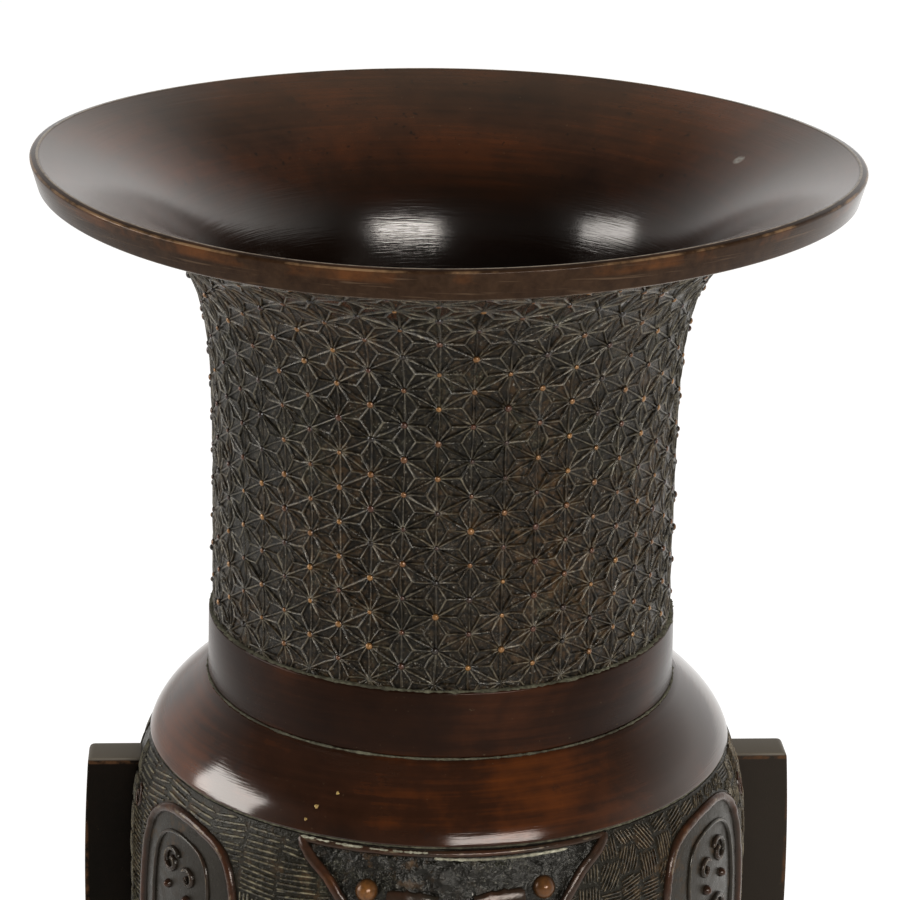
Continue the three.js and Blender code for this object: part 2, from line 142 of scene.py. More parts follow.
def placed(name, mesh, sharp):
    """The mesh as an object, smooth but for edges that bend by more than sharp degrees."""
    mesh.shade_smooth()
    mesh.set_sharp_from_angle(angle=math.radians(sharp))
    mesh.update()
    o = bpy.data.objects.new(name, mesh)
    bpy.context.scene.collection.objects.link(o)
    return o


def store(mesh, name, values):
    """A number at each vertex, which the materials read by its name."""
    mesh.attributes.new(name, "FLOAT", "POINT").data.foreach_set("value", values)


def dress(o, node):
    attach(o, "root")
    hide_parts(node)
    return o


def rounded(profile, radii, steps=3):
    """The closed profile with the corners named in radii, {index: radius}, turned into arcs."""
    out = []
    count = len(profile)
    for i, point in enumerate(profile):
        p = np.array(point, float)
        if i not in radii:
            out.append(tuple(p))
            continue
        before = np.array(profile[i - 1], float) - p
        after = np.array(profile[(i + 1) % count], float) - p
        reach = min(radii[i], 0.45 * np.linalg.norm(before), 0.45 * np.linalg.norm(after))
        start = p + before / np.linalg.norm(before) * reach
        end = p + after / np.linalg.norm(after) * reach
        for t in np.linspace(0, 1, steps + 1):
            out.append(tuple((1 - t) ** 2 * start + 2 * t * (1 - t) * p + t * t * end))
    return out


def tube(base, rows, columns, closed=False, inward=False):
    """Quads between rows of points that start at base. closed joins the last row to the first."""
    faces = []
    for i in range(rows if closed else rows - 1):
        a, b = base + i * columns, base + (i + 1) % rows * columns
        for j in range(columns):
            k = (j + 1) % columns
            faces.append((a + j, b + j, b + k, a + k) if inward else (a + j, a + k, b + k, b + j))
    return faces


def cap(start, count):
    return tuple(range(start, start + count))


def turned(profile, segments):
    """Points of a closed profile turned about Z, row by row. It runs anticlockwise in (r, z)."""
    angles = np.linspace(0, 2 * math.pi, segments, endpoint=False)
    points = np.array(profile, float)
    x = points[:, 0:1] * np.cos(angles)
    y = points[:, 0:1] * np.sin(angles)
    z = np.repeat(points[:, 1:2], segments, axis=1)
    return np.stack([x, y, z], -1).reshape(-1, 3)


def dome_points(radius, around, rings):
    """(across, along, rise, share) of rings of points, then of the crown. rise and share go from 0 to 1."""
    for k in range(rings + 1):
        tilt = k / rings * math.pi / 2
        reach = radius * math.cos(tilt)
        for angle in [a / around * 2 * math.pi for a in range(around if k < rings else 1)]:
            yield reach * math.cos(angle), reach * math.sin(angle), math.sin(tilt), k / rings


def dome_faces(base, around, rings):
    """Faces of the dome of dome_points, which start at base."""
    last, crown = base + (rings - 1) * around, base + rings * around
    peak = [(last + a, last + (a + 1) % around, crown) for a in range(around)]
    return [*tube(base, rings, around), *peak, cap(base, around)[::-1]]


def lathe(name, profile, material):
    faces = tube(0, len(profile), SEGMENTS, closed=True)
    return add_object(name, turned(profile, SEGMENTS), faces, [material], sharp=50)


# ---------------------------------------------------------------- shapes of the castings
def neck_r(z):
    below = LIP_BOTTOM - np.asarray(z, float)
    return NECK_R + 47.5 * np.exp(-below / 14.8) + 0.5 * (below / 136.8) ** 2


def mouth_r(z):
    return THROAT_R + (LIP_INNER_R - THROAT_R) * np.exp(-(MOUTH_TOP - np.asarray(z, float)) / 18.4)


def rim_wave(angle):
    return sum(rise * np.cos(crests * (angle - math.radians(at))) for crests, rise, at in RIM_WAVES)


RIM_CREST = rim_wave(np.radians(np.arange(0.0, 360.0, 0.25))).max()


def waved(points):
    """Points of the neck, lowered towards the mouth so that its rim rises to MOUTH_TOP at one place only."""
    x, y, z = np.moveaxis(np.asarray(points, float), -1, 0)
    t = np.clip((z - WAVE_FROM) / (WAVE_FULL - WAVE_FROM), 0.0, 1.0)
    fall = (RIM_CREST - rim_wave(np.arctan2(x, -y))) * t * t * (3 - 2 * t)
    return np.stack([x, y, z - fall], -1)


def foot_r(z):
    return NECK_R + 19.8 * np.exp(-(np.asarray(z, float) - FOOT_BAND_TOP) / FOOT_FLARE)


def drum_r(z):
    share = np.abs(np.asarray(z, float) - DRUM_MIDDLE) / DRUM_HALF
    return DRUM_R - 7.1 * share ** 4.5


def shoulder(count, edge=SHOULDER_R, crown=8.9, top=COLLAR_R + 0.1, rise=20.0):
    t = np.linspace(0, 1, count)
    r = (1 - t) ** 2 * edge + 2 * t * (1 - t) * (edge - 2.2) + t * t * top
    z = 2 * t * (1 - t) * crown + t * t * rise
    return list(zip(r, z))


# ---------------------------------------------------------------- materials, with lengths in metres
def is_socket(value):
    return isinstance(value, bpy.types.NodeSocket)


def node(tree, kind, inputs=None, **properties):
    made = tree.nodes.new("ShaderNode" + kind)
    for key, value in properties.items():
        setattr(made, key, value)
    for key, value in (inputs or {}).items():
        if is_socket(value):
            tree.links.new(value, made.inputs[key])
        else:
            made.inputs[key].default_value = value
    return made


def blank(name):
    """An empty material and the object coordinates in its tree."""
    made = bpy.data.materials.new(name)
    made.use_nodes = True
    made.node_tree.nodes.clear()
    return made, node(made.node_tree, "TexCoord").outputs["Object"]


def shown(shader, output="OutputMaterial"):
    tree = shader.id_data
    tree.links.new(shader.outputs[0], node(tree, output).inputs["Surface"])


def bumped(height, strength, distance):
    return node(height.id_data, "Bump", {"Height": height, "Strength": strength, "Distance": distance}).outputs[0]


def metal(colour, rough, gloss, metallic, normal, tint=(1.0, 1.0, 1.0)):
    shown(node(normal.id_data, "BsdfPrincipled", {
        "Base Color": colour, "Roughness": rough, "Specular IOR Level": gloss, "Metallic": metallic,
        "Specular Tint": (*tint, 1.0), "Normal": normal,
    }))


def ramp(factor, stops):
    made = node(factor.id_data, "ValToRGB", {"Fac": factor})
    elements = made.color_ramp.elements
    while len(elements) < len(stops):
        elements.new(0.5)
    for element, (at, colour) in zip(elements, stops):
        element.position = at
        element.color = (*colour, 1.0)
    return made.outputs["Color"]


def level(value, low, high, to_low=0.0, to_high=1.0):
    """The value taken from low..high to to_low..to_high, and held at their ends."""
    made = node(value.id_data, "MapRange", {"Value": value, 1: low, 2: high, 3: to_low, 4: to_high})
    return made.outputs["Result"]


def mixed(factor, a, b, how="MIX"):
    """The colours a and b mixed, each a socket or three numbers."""
    a, b = (c if is_socket(c) else (*c, 1.0) for c in (a, b))
    tree = next(v.id_data for v in (factor, a, b) if is_socket(v))
    return node(tree, "Mix", {0: factor, 6: a, 7: b}, data_type="RGBA", blend_type=how).outputs[2]


def attribute(material, name):
    return node(material.node_tree, "Attribute", attribute_name=name).outputs["Fac"]


def maths(how, *values):
    tree = next(v.id_data for v in values if is_socket(v))
    return node(tree, "Math", dict(enumerate(values)), operation=how).outputs[0]


def times(a, b):
    return maths("MULTIPLY", a, b)


def plus(a, b):
    return maths("ADD", a, b)


def noise(vector, scale, detail=4.0, rough=0.55, distortion=0.0):
    made = node(vector.id_data, "TexNoise", {
        "Vector": vector, "Scale": scale, "Detail": detail, "Roughness": rough, "Distortion": distortion,
    })
    return made.outputs["Fac"]


def axis(where, letter):
    return node(where.id_data, "SeparateXYZ", {"Vector": where}).outputs[letter]


def from_axis(where):
    """The distance from the vase's axis."""
    flat = node(where.id_data, "CombineXYZ", {"X": axis(where, "X"), "Y": axis(where, "Y")}).outputs[0]
    return node(where.id_data, "VectorMath", {0: flat}, operation="LENGTH").outputs["Value"]


def round_lines(where):
    """Coordinates in which noise runs in lines round the vase."""
    slow_x, slow_y = (times(axis(where, letter), 0.035) for letter in "XY")
    return node(where.id_data, "CombineXYZ", {
        "X": plus(from_axis(where), slow_x), "Y": plus(axis(where, "Z"), slow_y), "Z": slow_x,
    }).outputs[0]


def polished_bronze(name, dark=(0.007, 0.0032, 0.002), brown=(0.016, 0.0062, 0.0031), red=(0.045, 0.014, 0.005),
                    rough=0.22, gloss=0.08, brushed=0.16, wear_and_painted_light=None):
    made, where = blank(name)
    lines = round_lines(where)
    cloud = noise(where, 16.0, 5.0, 0.6, 0.4)
    patches = noise(where, 42.0, 4.0, 0.6)
    streaks = noise(lines, 420.0, 3.0, 0.65)
    fine = noise(lines, 2600.0, 2.0, 0.5)
    tone = plus(plus(times(cloud, 0.55), times(patches, 0.25)), times(streaks, 0.2))
    colour = ramp(tone, [(0.36, dark), (0.5, brown), (0.64, red)])
    grime = level(noise(where, 95.0, 6.0, 0.7), 0.62, 0.8)
    colour = mixed(grime, colour, (0.011, 0.008, 0.0065))
    specks = level(noise(where, 900.0, 2.0, 0.5), 0.73, 0.78)
    colour = mixed(times(specks, 0.5), colour, (0.1, 0.07, 0.04))
    # The callback adds wear and painted light or shade to the colour.
    if wear_and_painted_light:
        colour, gloss = wear_and_painted_light(made, colour, gloss, where)
    shine = plus(plus(rough - 0.04, times(patches, 0.05)), times(fine, 0.05))
    normal = bumped(plus(times(fine, 0.9), times(streaks, 0.8)), brushed, 0.0003)
    metal(colour, shine, gloss, 0.1, normal, (1.0, 0.95, 0.89))
    return made


def relief_bronze(name, crest=(0.145, 0.124, 0.08), ground=(0.021, 0.0162, 0.0088), groove=(0.003, 0.0023, 0.0015),
                  rough=0.36, green=0.4, bump=0.85, painted_glints=0.6, gloss=0.8, streaks=0.0, waves=0.0):
    """Patterned bronze: grime and painted shade low in the relief, rubbed crests, and painted glints on grainy
    specks. The relief attribute runs from 0 to 1.
    """
    made, where = blank(name)
    relief = attribute(made, "relief")
    cloud = noise(where, 22.0, 5.0, 0.6, 0.3)
    small = noise(where, 260.0, 5.0, 0.65)
    coarse = noise(where, 620.0, 3.0, 0.6)
    grain = noise(where, 1500.0, 3.0, 0.6)
    warm = [c * f for c, f in zip(ground, (1.7, 1.15, 0.8))]
    base = mixed(level(cloud, 0.4, 0.62), ground, warm)
    base = mixed(level(coarse, 0.38, 0.6), groove, base)
    if streaks:
        tall = node(where.id_data, "VectorMath", {0: where, 1: (1.0, 1.0, 0.1)}, operation="MULTIPLY").outputs[0]
        base = mixed(level(noise(tall, 420.0, 3.0, 0.6), 0.42, 0.6, 0.0, streaks), base, groove)
    # Low in the relief the colour falls to the groove colour: grime with painted shade in the hollows.
    low = mixed(level(relief, 0.05, 0.35), groove, base)
    rub = times(level(relief, 0.6, 1.0), level(small, 0.4, 0.64, 0.03, 1.0))
    rub = times(rub, level(coarse, 0.38, 0.56, 0.15, 1.0))
    colour = mixed(rub, low, crest)
    ochre = times(level(small, 0.52, 0.72), level(cloud, 0.47, 0.62))
    colour = mixed(times(ochre, 0.65), colour, (0.095, 0.048, 0.016))
    moss = times(level(noise(where, 60.0, 6.0, 0.7), 0.54, 0.7), level(grain, 0.45, 0.62))
    colour = mixed(times(moss, green), colour, (0.105, 0.1, 0.058))
    # Pale specks on grainy spots are painted glints.
    glint_specks = times(level(grain, 0.6, 0.68), level(coarse, 0.45, 0.6))
    colour = mixed(times(glint_specks, painted_glints), colour, (0.26, 0.245, 0.205))
    normal = bumped(plus(coarse, times(grain, 0.6)), bump, 0.0004)
    if waves:
        swell = bumped(noise(where, 150.0, 2.0, 0.5), 1.0, waves)
        where.id_data.links.new(swell, normal.node.inputs["Normal"])
    metal(colour, level(small, 0.3, 0.7, rough - 0.16, rough + 0.14),
          level(relief, 0.3, 1.0, 0.25 * gloss, min(gloss, 1.0)), 0.15, normal, (1.0, 0.96, 0.87))
    return made


def boss_bronze():
    """Worn bosses: gold, copper and dark ones in patches, each darkened towards its foot with grime and painted
    shade.
    """
    made, where = blank("bronze_boss")
    relief = attribute(made, "relief")
    patch = plus(times(noise(where, 40.0, 3.0, 0.6), 0.7), times(attribute(made, "tone"), 0.3))
    tone = ramp(patch, [(0.34, (0.018, 0.012, 0.007)), (0.44, (0.065, 0.022, 0.009)),
                        (0.53, (0.135, 0.056, 0.014)), (0.66, (0.24, 0.115, 0.03))])
    # Towards its foot each boss is darkened: grime with painted shade where it meets the ground.
    colour = mixed(level(relief, 0.12, 0.5), (0.005, 0.0038, 0.0028), tone)
    metal(colour, 0.26, 0.6, 0.3, bumped(noise(where, 900.0), 0.4, 0.0003))
    return made


def between(value, low, high, soft):
    """1 where the value lies between low and high, falling to 0 over soft on both sides."""
    return times(level(value, low - soft, low), level(value, high, high + soft, 1.0, 0.0))


def lip_wear_and_painted_light(material, colour, gloss, where):
    """A brown lip with bright painted highlights on its edges, a painted dark reflection on its top facet and an
    orange upper part, a pitted mouth paler towards its rim as a painted sheen, and a throat painted dark as shade.
    """
    radius, height = from_axis(where), attribute(material, "level")
    patch = noise(where, 45.0, 6.0, 0.65)
    small = noise(where, 240.0, 5.0, 0.7)
    scratch = noise(round_lines(where), 900.0, 3.0, 0.6)
    pits = level(noise(where, 420.0, 2.0, 0.5), 0.66, 0.74)
    mouth = level(radius, 0.074, 0.084)
    colour = mixed(times(pits, times(mouth, 0.85)), colour, (0.006, 0.005, 0.004))
    # Paler towards the rim inside the mouth: a painted sheen.
    colour = mixed(level(radius, 0.088, 0.116), colour, (0.03, 0.022, 0.015), "ADD")
    mark = node(where.id_data, "VectorMath", {0: where, 1: (0.0926, 0.036, 0.4312)}, operation="DISTANCE").outputs[1]
    mark = times(level(mark, 0.0013, 0.0024, 1.0, 0.0), level(small, 0.35, 0.55, 0.3, 1.0))
    colour = mixed(mark, colour, (0.34, 0.33, 0.29))
    # The throat is painted near black: painted shade deep in the neck.
    throat_shade = level(radius, 0.09, 0.073)
    colour = mixed(times(throat_shade, 0.9), colour, (0.005, 0.0025, 0.0014))
    lip = times(level(radius, 0.1217, 0.1222), level(height, 0.4336, 0.434))
    brown = mixed(level(small, 0.35, 0.65), (0.021, 0.0102, 0.005), (0.037, 0.019, 0.0095))
    brown = mixed(level(scratch, 0.6, 0.7), brown, (0.075, 0.045, 0.026))
    orange = times(between(height, 0.4396, 0.4421, 0.0012), level(patch, 0.45, 0.64))
    brown = mixed(times(orange, 0.7), brown, (0.12, 0.042, 0.012))
    colour = mixed(lip, colour, brown)
    # The top facet between the lip's edges is darkened: a painted dark reflection.
    painted_dark_facet = times(between(radius, 0.1232, 0.1243, 0.0002), level(height, 0.4421, 0.4423))
    colour = mixed(times(painted_dark_facet, 0.5), colour, (0.02, 0.011, 0.007))
    # Thin pale lines on the lower arris and on the outer and inner edges of the top are painted highlights.
    edge = times(level(radius, 0.1218, 0.1221), between(height, 0.4335, 0.434, 0.0002))
    edge = times(edge, level(small, 0.4, 0.6, 0.2, 1.0))
    outer = times(between(radius, 0.12435, 0.12475, 0.0002), level(height, 0.4418, 0.442))
    outer = times(outer, level(patch, 0.42, 0.56))
    inner = times(between(radius, 0.12235, 0.1229, 0.0002), level(height, 0.442, 0.4424))
    inner = times(inner, level(small, 0.34, 0.56, 0.35, 1.0))
    colour = mixed(times(outer, 0.8), colour, (0.22, 0.135, 0.07))
    colour = mixed(maths("MAXIMUM", times(edge, 0.4), inner), colour, (0.25, 0.205, 0.155))
    return colour, level(lip, 0.0, 1.0, gloss, 0.1)


def grit(name, colour, other, rough=0.75):
    made, where = blank(name)
    small = noise(where, 700.0, 5.0, 0.7)
    cloud = noise(where, 60.0, 4.0, 0.6)
    mix = mixed(level(small, 0.34, 0.66), other, colour)
    mix = mixed(level(cloud, 0.45, 0.65, 0.0, 0.7), mix, other)
    metal(mix, rough, 0.25, 0.0, bumped(small, 0.8, 0.0004))
    return made


def mask_bronze():
    """Beads and bosses of the mask. The tone attribute runs from dark over red-brown and gold to a whitish painted
    glint. Low on each bead the colour is darkened: grime and painted shade.
    """
    made, where = blank("bronze_mask")
    relief = attribute(made, "relief")
    tone = attribute(made, "tone")
    cloud = noise(where, 60.0, 4.0, 0.6)
    small = noise(where, 260.0, 5.0, 0.65)
    coarse = noise(where, 620.0, 3.0, 0.6)
    tone = plus(tone, level(cloud, 0.3, 0.7, -0.16, 0.16))
    # The whitish top of the ramp stands for a painted glint.
    colour = ramp(tone, [(0.05, (0.022, 0.019, 0.014)), (0.35, (0.044, 0.016, 0.0075)),
                         (0.84, (0.17, 0.068, 0.017)), (1.0, (0.4, 0.37, 0.27))])
    colour = mixed(level(coarse, 0.35, 0.55, 0.35, 0.0), colour, (0.012, 0.009, 0.006))
    # Towards the feet of the beads the colour is dulled and darkened: grime with painted shade.
    dull = mixed(0.8, colour, (0.008, 0.006, 0.004))
    colour = mixed(level(relief, 0.1, 0.75), dull, colour)
    rub = times(level(relief, 0.85, 1.0), level(small, 0.5, 0.64))
    rub = times(rub, level(tone, 0.4, 0.5, 0.55, 0.1))
    colour = mixed(rub, colour, (0.24, 0.19, 0.12))
    metal(colour, level(small, 0.3, 0.7, 0.12, 0.28), 0.3, 0.15, bumped(coarse, 0.35, 0.0003), (1.0, 0.95, 0.88))
    return made


def side_shine(_, colour, gloss, where):
    """The shoulder shines less at its front, and is painted duller and greyer on its right as a sheen."""
    x = axis(where, "X")
    # Greyer and duller towards +X: a painted sheen.
    colour = mixed(level(x, 0.01, 0.07, 0.0, 0.45), colour, (0.028, 0.0165, 0.0115))
    shine = plus(level(x, -0.05, 0.0, 1.15, 0.38), level(x, 0.035, 0.075, 0.0, 0.5))
    return colour, times(gloss, shine)


def plate_wear_and_painted_shade(_, colour, gloss, where):
    """Flanges: the left one painted darker than the right as shade, greyer on their ends, rubbed to orange-brown
    along the edges.
    """
    small = noise(where, 300.0, 5.0, 0.65)
    # The left flange is painted darker than the right: painted shade.
    sides = mixed(level(axis(where, "X"), -0.09, 0.09), (0.0026, 0.002, 0.0012), (0.028, 0.0224, 0.0175))
    colour = mixed(0.75, colour, sides)
    off = maths("ABSOLUTE", maths("SUBTRACT", axis(where, "Z"), DRUM_MIDDLE * MM))
    ends = level(off, 0.0474, 0.048)
    colour = mixed(ends, colour, (0.118, 0.102, 0.08))
    out = times(level(from_axis(where), 0.1113, 0.112), level(maths("ABSOLUTE", axis(where, "Y")), 0.0047, 0.0052))
    edge = maths("MAXIMUM", between(off, 0.0466, 0.0474, 0.0004), out)
    edge = times(edge, level(small, 0.42, 0.62))
    return mixed(times(edge, 0.75), colour, (0.085, 0.04, 0.018)), gloss


bronze_mouth = polished_bronze("bronze_mouth", dark=(0.013, 0.0062, 0.004), brown=(0.038, 0.0148, 0.007),
                               red=(0.085, 0.024, 0.007), rough=0.16, gloss=0.9, wear_and_painted_light=lip_wear_and_painted_light)
bronze_body = polished_bronze("bronze_body")
bronze_shoulder = polished_bronze("bronze_shoulder", dark=(0.011, 0.0052, 0.003), brown=(0.027, 0.01, 0.0048),
                                  red=(0.1, 0.026, 0.0055), rough=0.11, gloss=0.72, brushed=0.12,
                                  wear_and_painted_light=side_shine)
# Near-black bronze: painted shade on the drum's ends.
bronze_painted_shade = polished_bronze("bronze_painted_shade", dark=(0.004, 0.003, 0.002), brown=(0.006, 0.0045, 0.003),
                              red=(0.008, 0.006, 0.004), rough=0.6, gloss=0.05)
bronze_diaper = relief_bronze("bronze_diaper")
bronze_drum = relief_bronze("bronze_drum", ground=(0.018, 0.0155, 0.0095), groove=(0.009, 0.0075, 0.0045))
bronze_boss = boss_bronze()
bronze_flange = polished_bronze("bronze_flange", dark=(0.005, 0.004, 0.003), brown=(0.0095, 0.0075, 0.0056),
                                red=(0.02, 0.012, 0.008), rough=0.36, gloss=0.04, wear_and_painted_light=plate_wear_and_painted_shade)
bronze_mask = mask_bronze()
bronze_comb = relief_bronze("bronze_comb", crest=(0.3, 0.27, 0.165), ground=(0.02, 0.017, 0.0095),
                            groove=(0.006, 0.005, 0.003))
bronze_hatch = relief_bronze("bronze_hatch", crest=(0.19, 0.15, 0.09), ground=(0.034, 0.026, 0.0155),
                             groove=(0.01, 0.0075, 0.0045))
bronze_pitted = relief_bronze("bronze_pitted", ground=(0.011, 0.0098, 0.0066), groove=(0.005, 0.0044, 0.0032),
                              rough=0.22, green=0.3, bump=1.0, painted_glints=0.5, gloss=1.2, streaks=0.8, waves=0.0032)
bronze_smooth = relief_bronze("bronze_smooth", ground=(0.021, 0.0175, 0.013), groove=(0.015, 0.012, 0.0085),
                              rough=0.34, green=0.12, bump=0.25, painted_glints=0.1)
verdigris = grit("verdigris", (0.15, 0.145, 0.095), (0.026, 0.021, 0.012))
# Pale bloom, used along the mask's upper edge also as a painted glint.
bloom_and_glint = grit("bloom_and_glint", (0.52, 0.5, 0.38), (0.1, 0.09, 0.06))
gold_speck = grit("gold_speck", (0.5, 0.36, 0.12), (0.16, 0.09, 0.03), rough=0.3)
bronze_plain = relief_bronze("bronze_plain", crest=(0.1, 0.07, 0.045), ground=(0.07, 0.05, 0.03))


# ---------------------------------------------------------------- neck and mouth
def neck_casting():
    zs = NECK_BOTTOM + (LIP_FOOT - NECK_BOTTOM) * (1 - np.linspace(1, 0, 26) ** 2)
    skin = [(neck_r(z) - DIAPER_DEPTH, z) for z in zs]
    skin[-1] = (neck_r(LIP_FOOT), LIP_FOOT)
    inside = [(mouth_r(z), z) for z in MOUTH_TOP - (MOUTH_TOP - NECK_SPIGOT) * np.linspace(0, 1, 60) ** 2]
    seat = BODY_TOP + SOLDER
    corners = [
        (SPIGOT_R, NECK_SPIGOT), (SPIGOT_R, seat), (COLLAR_R + 0.1, seat), (COLLAR_R - 0.25, NECK_BOTTOM),
        *skin, (MOUTH_R - 2.4, LIP_BOTTOM), (MOUTH_R, MOUTH_TOP - 0.5), *inside,
    ]
    lip = 4 + len(skin)
    profile = rounded(corners, {2: 0.7, 3: 0.6, lip: 0.5, lip + 1: 0.9, lip + 2: 0.4})
    collar_rows = 12
    shades = np.repeat([0, 1], [collar_rows * SEGMENTS, (len(profile) - collar_rows) * SEGMENTS])
    return turned(profile, SEGMENTS), tube(0, len(profile), SEGMENTS, closed=True), shades


points, faces, shades = neck_casting()
casting = add_object("mouth_casting", waved(points), faces, [bronze_body, bronze_mouth], shades, sharp=50)
# The height before the rim's waves, so that the lip's wear and its painted highlights and shade follow its edges
store(casting.data, "level", points[:, 2] * MM)
dress(casting, "mouth_and_neck")


# ---------------------------------------------------------------- hemp-leaf diaper
class Skin:
    """A turned surface that a pattern is laid on. v counts star pitches up it, swelling with the radius."""

    def __init__(self, radius_at, low, high, anchor):
        z = np.linspace(low, high, 1200)
        r = radius_at(z)
        step = np.hypot(np.diff(r), np.diff(z))
        middle = (r[1:] + r[:-1]) / 2
        v = np.concatenate([[0], np.cumsum(step / (STAR_PITCH * middle / NECK_R))])
        v -= np.interp(anchor, z, v)
        slope = np.gradient(r, z)
        self.z, self.r, self.v = z, r, v
        self.nr, self.nz = 1 / np.hypot(1, slope), -slope / np.hypot(1, slope)

    def place(self, column, v, lift):
        angle = math.radians(STAR_COLUMN_AT) + np.asarray(column) * 2 * math.pi / STAR_COLUMNS
        r = np.interp(v, self.v, self.r) + lift * np.interp(v, self.v, self.nr)
        z = np.interp(v, self.v, self.z) + lift * np.interp(v, self.v, self.nz)
        return waved(np.stack([r * np.sin(angle), -r * np.cos(angle), z], -1))


def diaper(name, skin, seed, node_name):
    """Stars of ridges and sunk leaves. Each lattice triangle holds three leaves that meet at its middle."""
    chance = random.Random(seed)
    column_mm = 2 * math.pi * NECK_R / STAR_COLUMNS
    scale = np.array([column_mm, STAR_PITCH])
    points, relief, faces, keys, index = [], [], [], {}, {}

    def jittered(key, spread, low, high):
        if key not in keys:
            keys[key] = (chance.gauss(0, spread) / column_mm, chance.gauss(0, spread) / STAR_PITCH,
                         chance.uniform(low, high))
        return np.array(keys[key])

    def corner(i, j):
        key = ("c", i % STAR_COLUMNS, j)
        return np.array([i, j / 2, RIDGE]) + jittered(key, 0.2, -0.1, 0.1), key

    def halfway(a, ka, b, kb):
        key = ("e", *sorted([ka, kb]))
        return (a + b) / 2 + jittered(key, 0.13, -0.34, 0.08) - (0.0, 0.0, 0.2 * upright(key)), key

    def upright(key):
        """Whether the key is of a ridge that runs up a column of stars: those stand lower and get no pale crest."""
        return key[0] == "e" and key[1][0] == key[2][0] == "c" and key[1][1] == key[2][1]

    def add(p, shade, key=None):
        if key is not None and key in index:
            return index[key]
        points.append(p)
        relief.append(shade)
        if key is not None:
            index[key] = len(points) - 1
        return len(points) - 1

    for i in range(STAR_COLUMNS):
        seam = i == STAR_COLUMNS - 1
        for j in range(2 * int(math.floor(skin.v[0])) - 2, 2 * int(math.ceil(skin.v[-1])) + 2):
            if (j + i) % 2:
                triangle = [(i, j + 1), (i + 1, j), (i + 1, j + 2)]
            else:
                triangle = [(i, j), (i + 1, j + 1), (i, j + 2)]
            cs = [corner(*c) for c in triangle]
            middle_key = ("g", i, j)
            middle = sum(c[0] for c in cs) / 3
            middle[2] = RIDGE
            middle = middle + jittered(middle_key, 0.2, -0.24, 0.02)
            for a, b in ((0, 1), (1, 2), (2, 0)):
                loop = [cs[a], cs[b], (middle, middle_key)]
                ring = []
                for k in range(3):
                    ring += [loop[k], halfway(*loop[k], *loop[(k + 1) % 3])]
                flat = [spot[:2] * scale for spot, _ in loop]
                sides = [np.linalg.norm(flat[(k + 1) % 3] - flat[(k + 2) % 3]) for k in range(3)]
                heart = sum(s * f for s, f in zip(sides, flat)) / sum(sides)
                cross = np.cross(flat[1] - flat[0], flat[2] - flat[0])
                keep = 1 - RIDGE_HALF_WIDTH * chance.uniform(0.8, 1.25) * sum(sides) / abs(cross)
                heart = np.array([*(heart / scale), 0.0])
                sink = chance.uniform(-0.12, 0.14)
                crest, flank, floor = [], [], []
                for p, key in ring:
                    crest.append(add(p, 0.45 if upright(key) else 1.0, None if seam else ("o", key)))
                    q = heart + (p - heart) * (1 - (1 - keep) * 0.42)
                    q[:2] += np.array([chance.gauss(0, 0.035), chance.gauss(0, 0.035)]) / scale
                    q[2] = p[2] - RIDGE * chance.uniform(0.12, 0.42)
                    flank.append(add(q, chance.uniform(0.5, 1.0)))
                    q = heart + (p - heart) * max(0.2, keep)
                    q[2] = sink - 0.06 + chance.uniform(-0.05, 0.05)
                    floor.append(add(q, chance.uniform(0.0, 0.15)))
                heart[2] = sink + chance.uniform(0.0, 0.18)
                c = add(heart, chance.uniform(0.3, 0.5))
                for k in range(6):
                    n = (k + 1) % 6
                    made = [(crest[k], crest[n], flank[n], flank[k]), (flank[k], flank[n], floor[n], floor[k]),
                            (floor[k], floor[n], c)]
                    faces.extend(f if cross > 0 else f[::-1] for f in made)
    near = [skin.v[0] - 1.0 < p[1] < skin.v[-1] + 1.0 for p in points]
    mesh = bpy.data.meshes.new(name)
    mesh.from_pydata([tuple(p) for p in points], [], [f for f in faces if all(near[k] for k in f)])
    store(mesh, "relief", relief)
    bm = bmesh.new()
    bm.from_mesh(mesh)
    bmesh.ops.remove_doubles(bm, verts=bm.verts, dist=1e-6)
    for co, normal in (((0, skin.v[0] + 0.02, 0), (0, -1, 0)), ((0, skin.v[-1] - 0.02, 0), (0, 1, 0))):
        geom = bm.verts[:] + bm.edges[:] + bm.faces[:]
        bmesh.ops.bisect_plane(bm, geom=geom, plane_co=co, plane_no=normal, clear_outer=True)
    flat = np.array([v.co[:] for v in bm.verts])
    for v, p in zip(bm.verts, skin.place(flat[:, 0], flat[:, 1], flat[:, 2] - RIDGE) * MM):
        v.co = p
    bmesh.ops.remove_doubles(bm, verts=bm.verts, dist=2e-5)
    # The rims turn in behind the casting's skin, so that the pattern has no loose edge
    made = bmesh.ops.extrude_edge_only(bm, edges=[e for e in bm.edges if e.is_boundary])
    for v in made["geom"]:
        if isinstance(v, bmesh.types.BMVert):
            inward = 1 - 2.2 * MM / math.hypot(v.co.x, v.co.y)
            v.co.x *= inward
            v.co.y *= inward
    bm.to_mesh(mesh)
    bm.free()
    mesh.materials.append(bronze_diaper)
    return dress(placed(name, mesh, 40), node_name)


neck_skin = Skin(neck_r, NECK_BOTTOM + 0.1, LIP_FOOT - 0.05, STAR_BOSS_AT)
diaper("neck_diaper", neck_skin, 7, "mouth_and_neck")


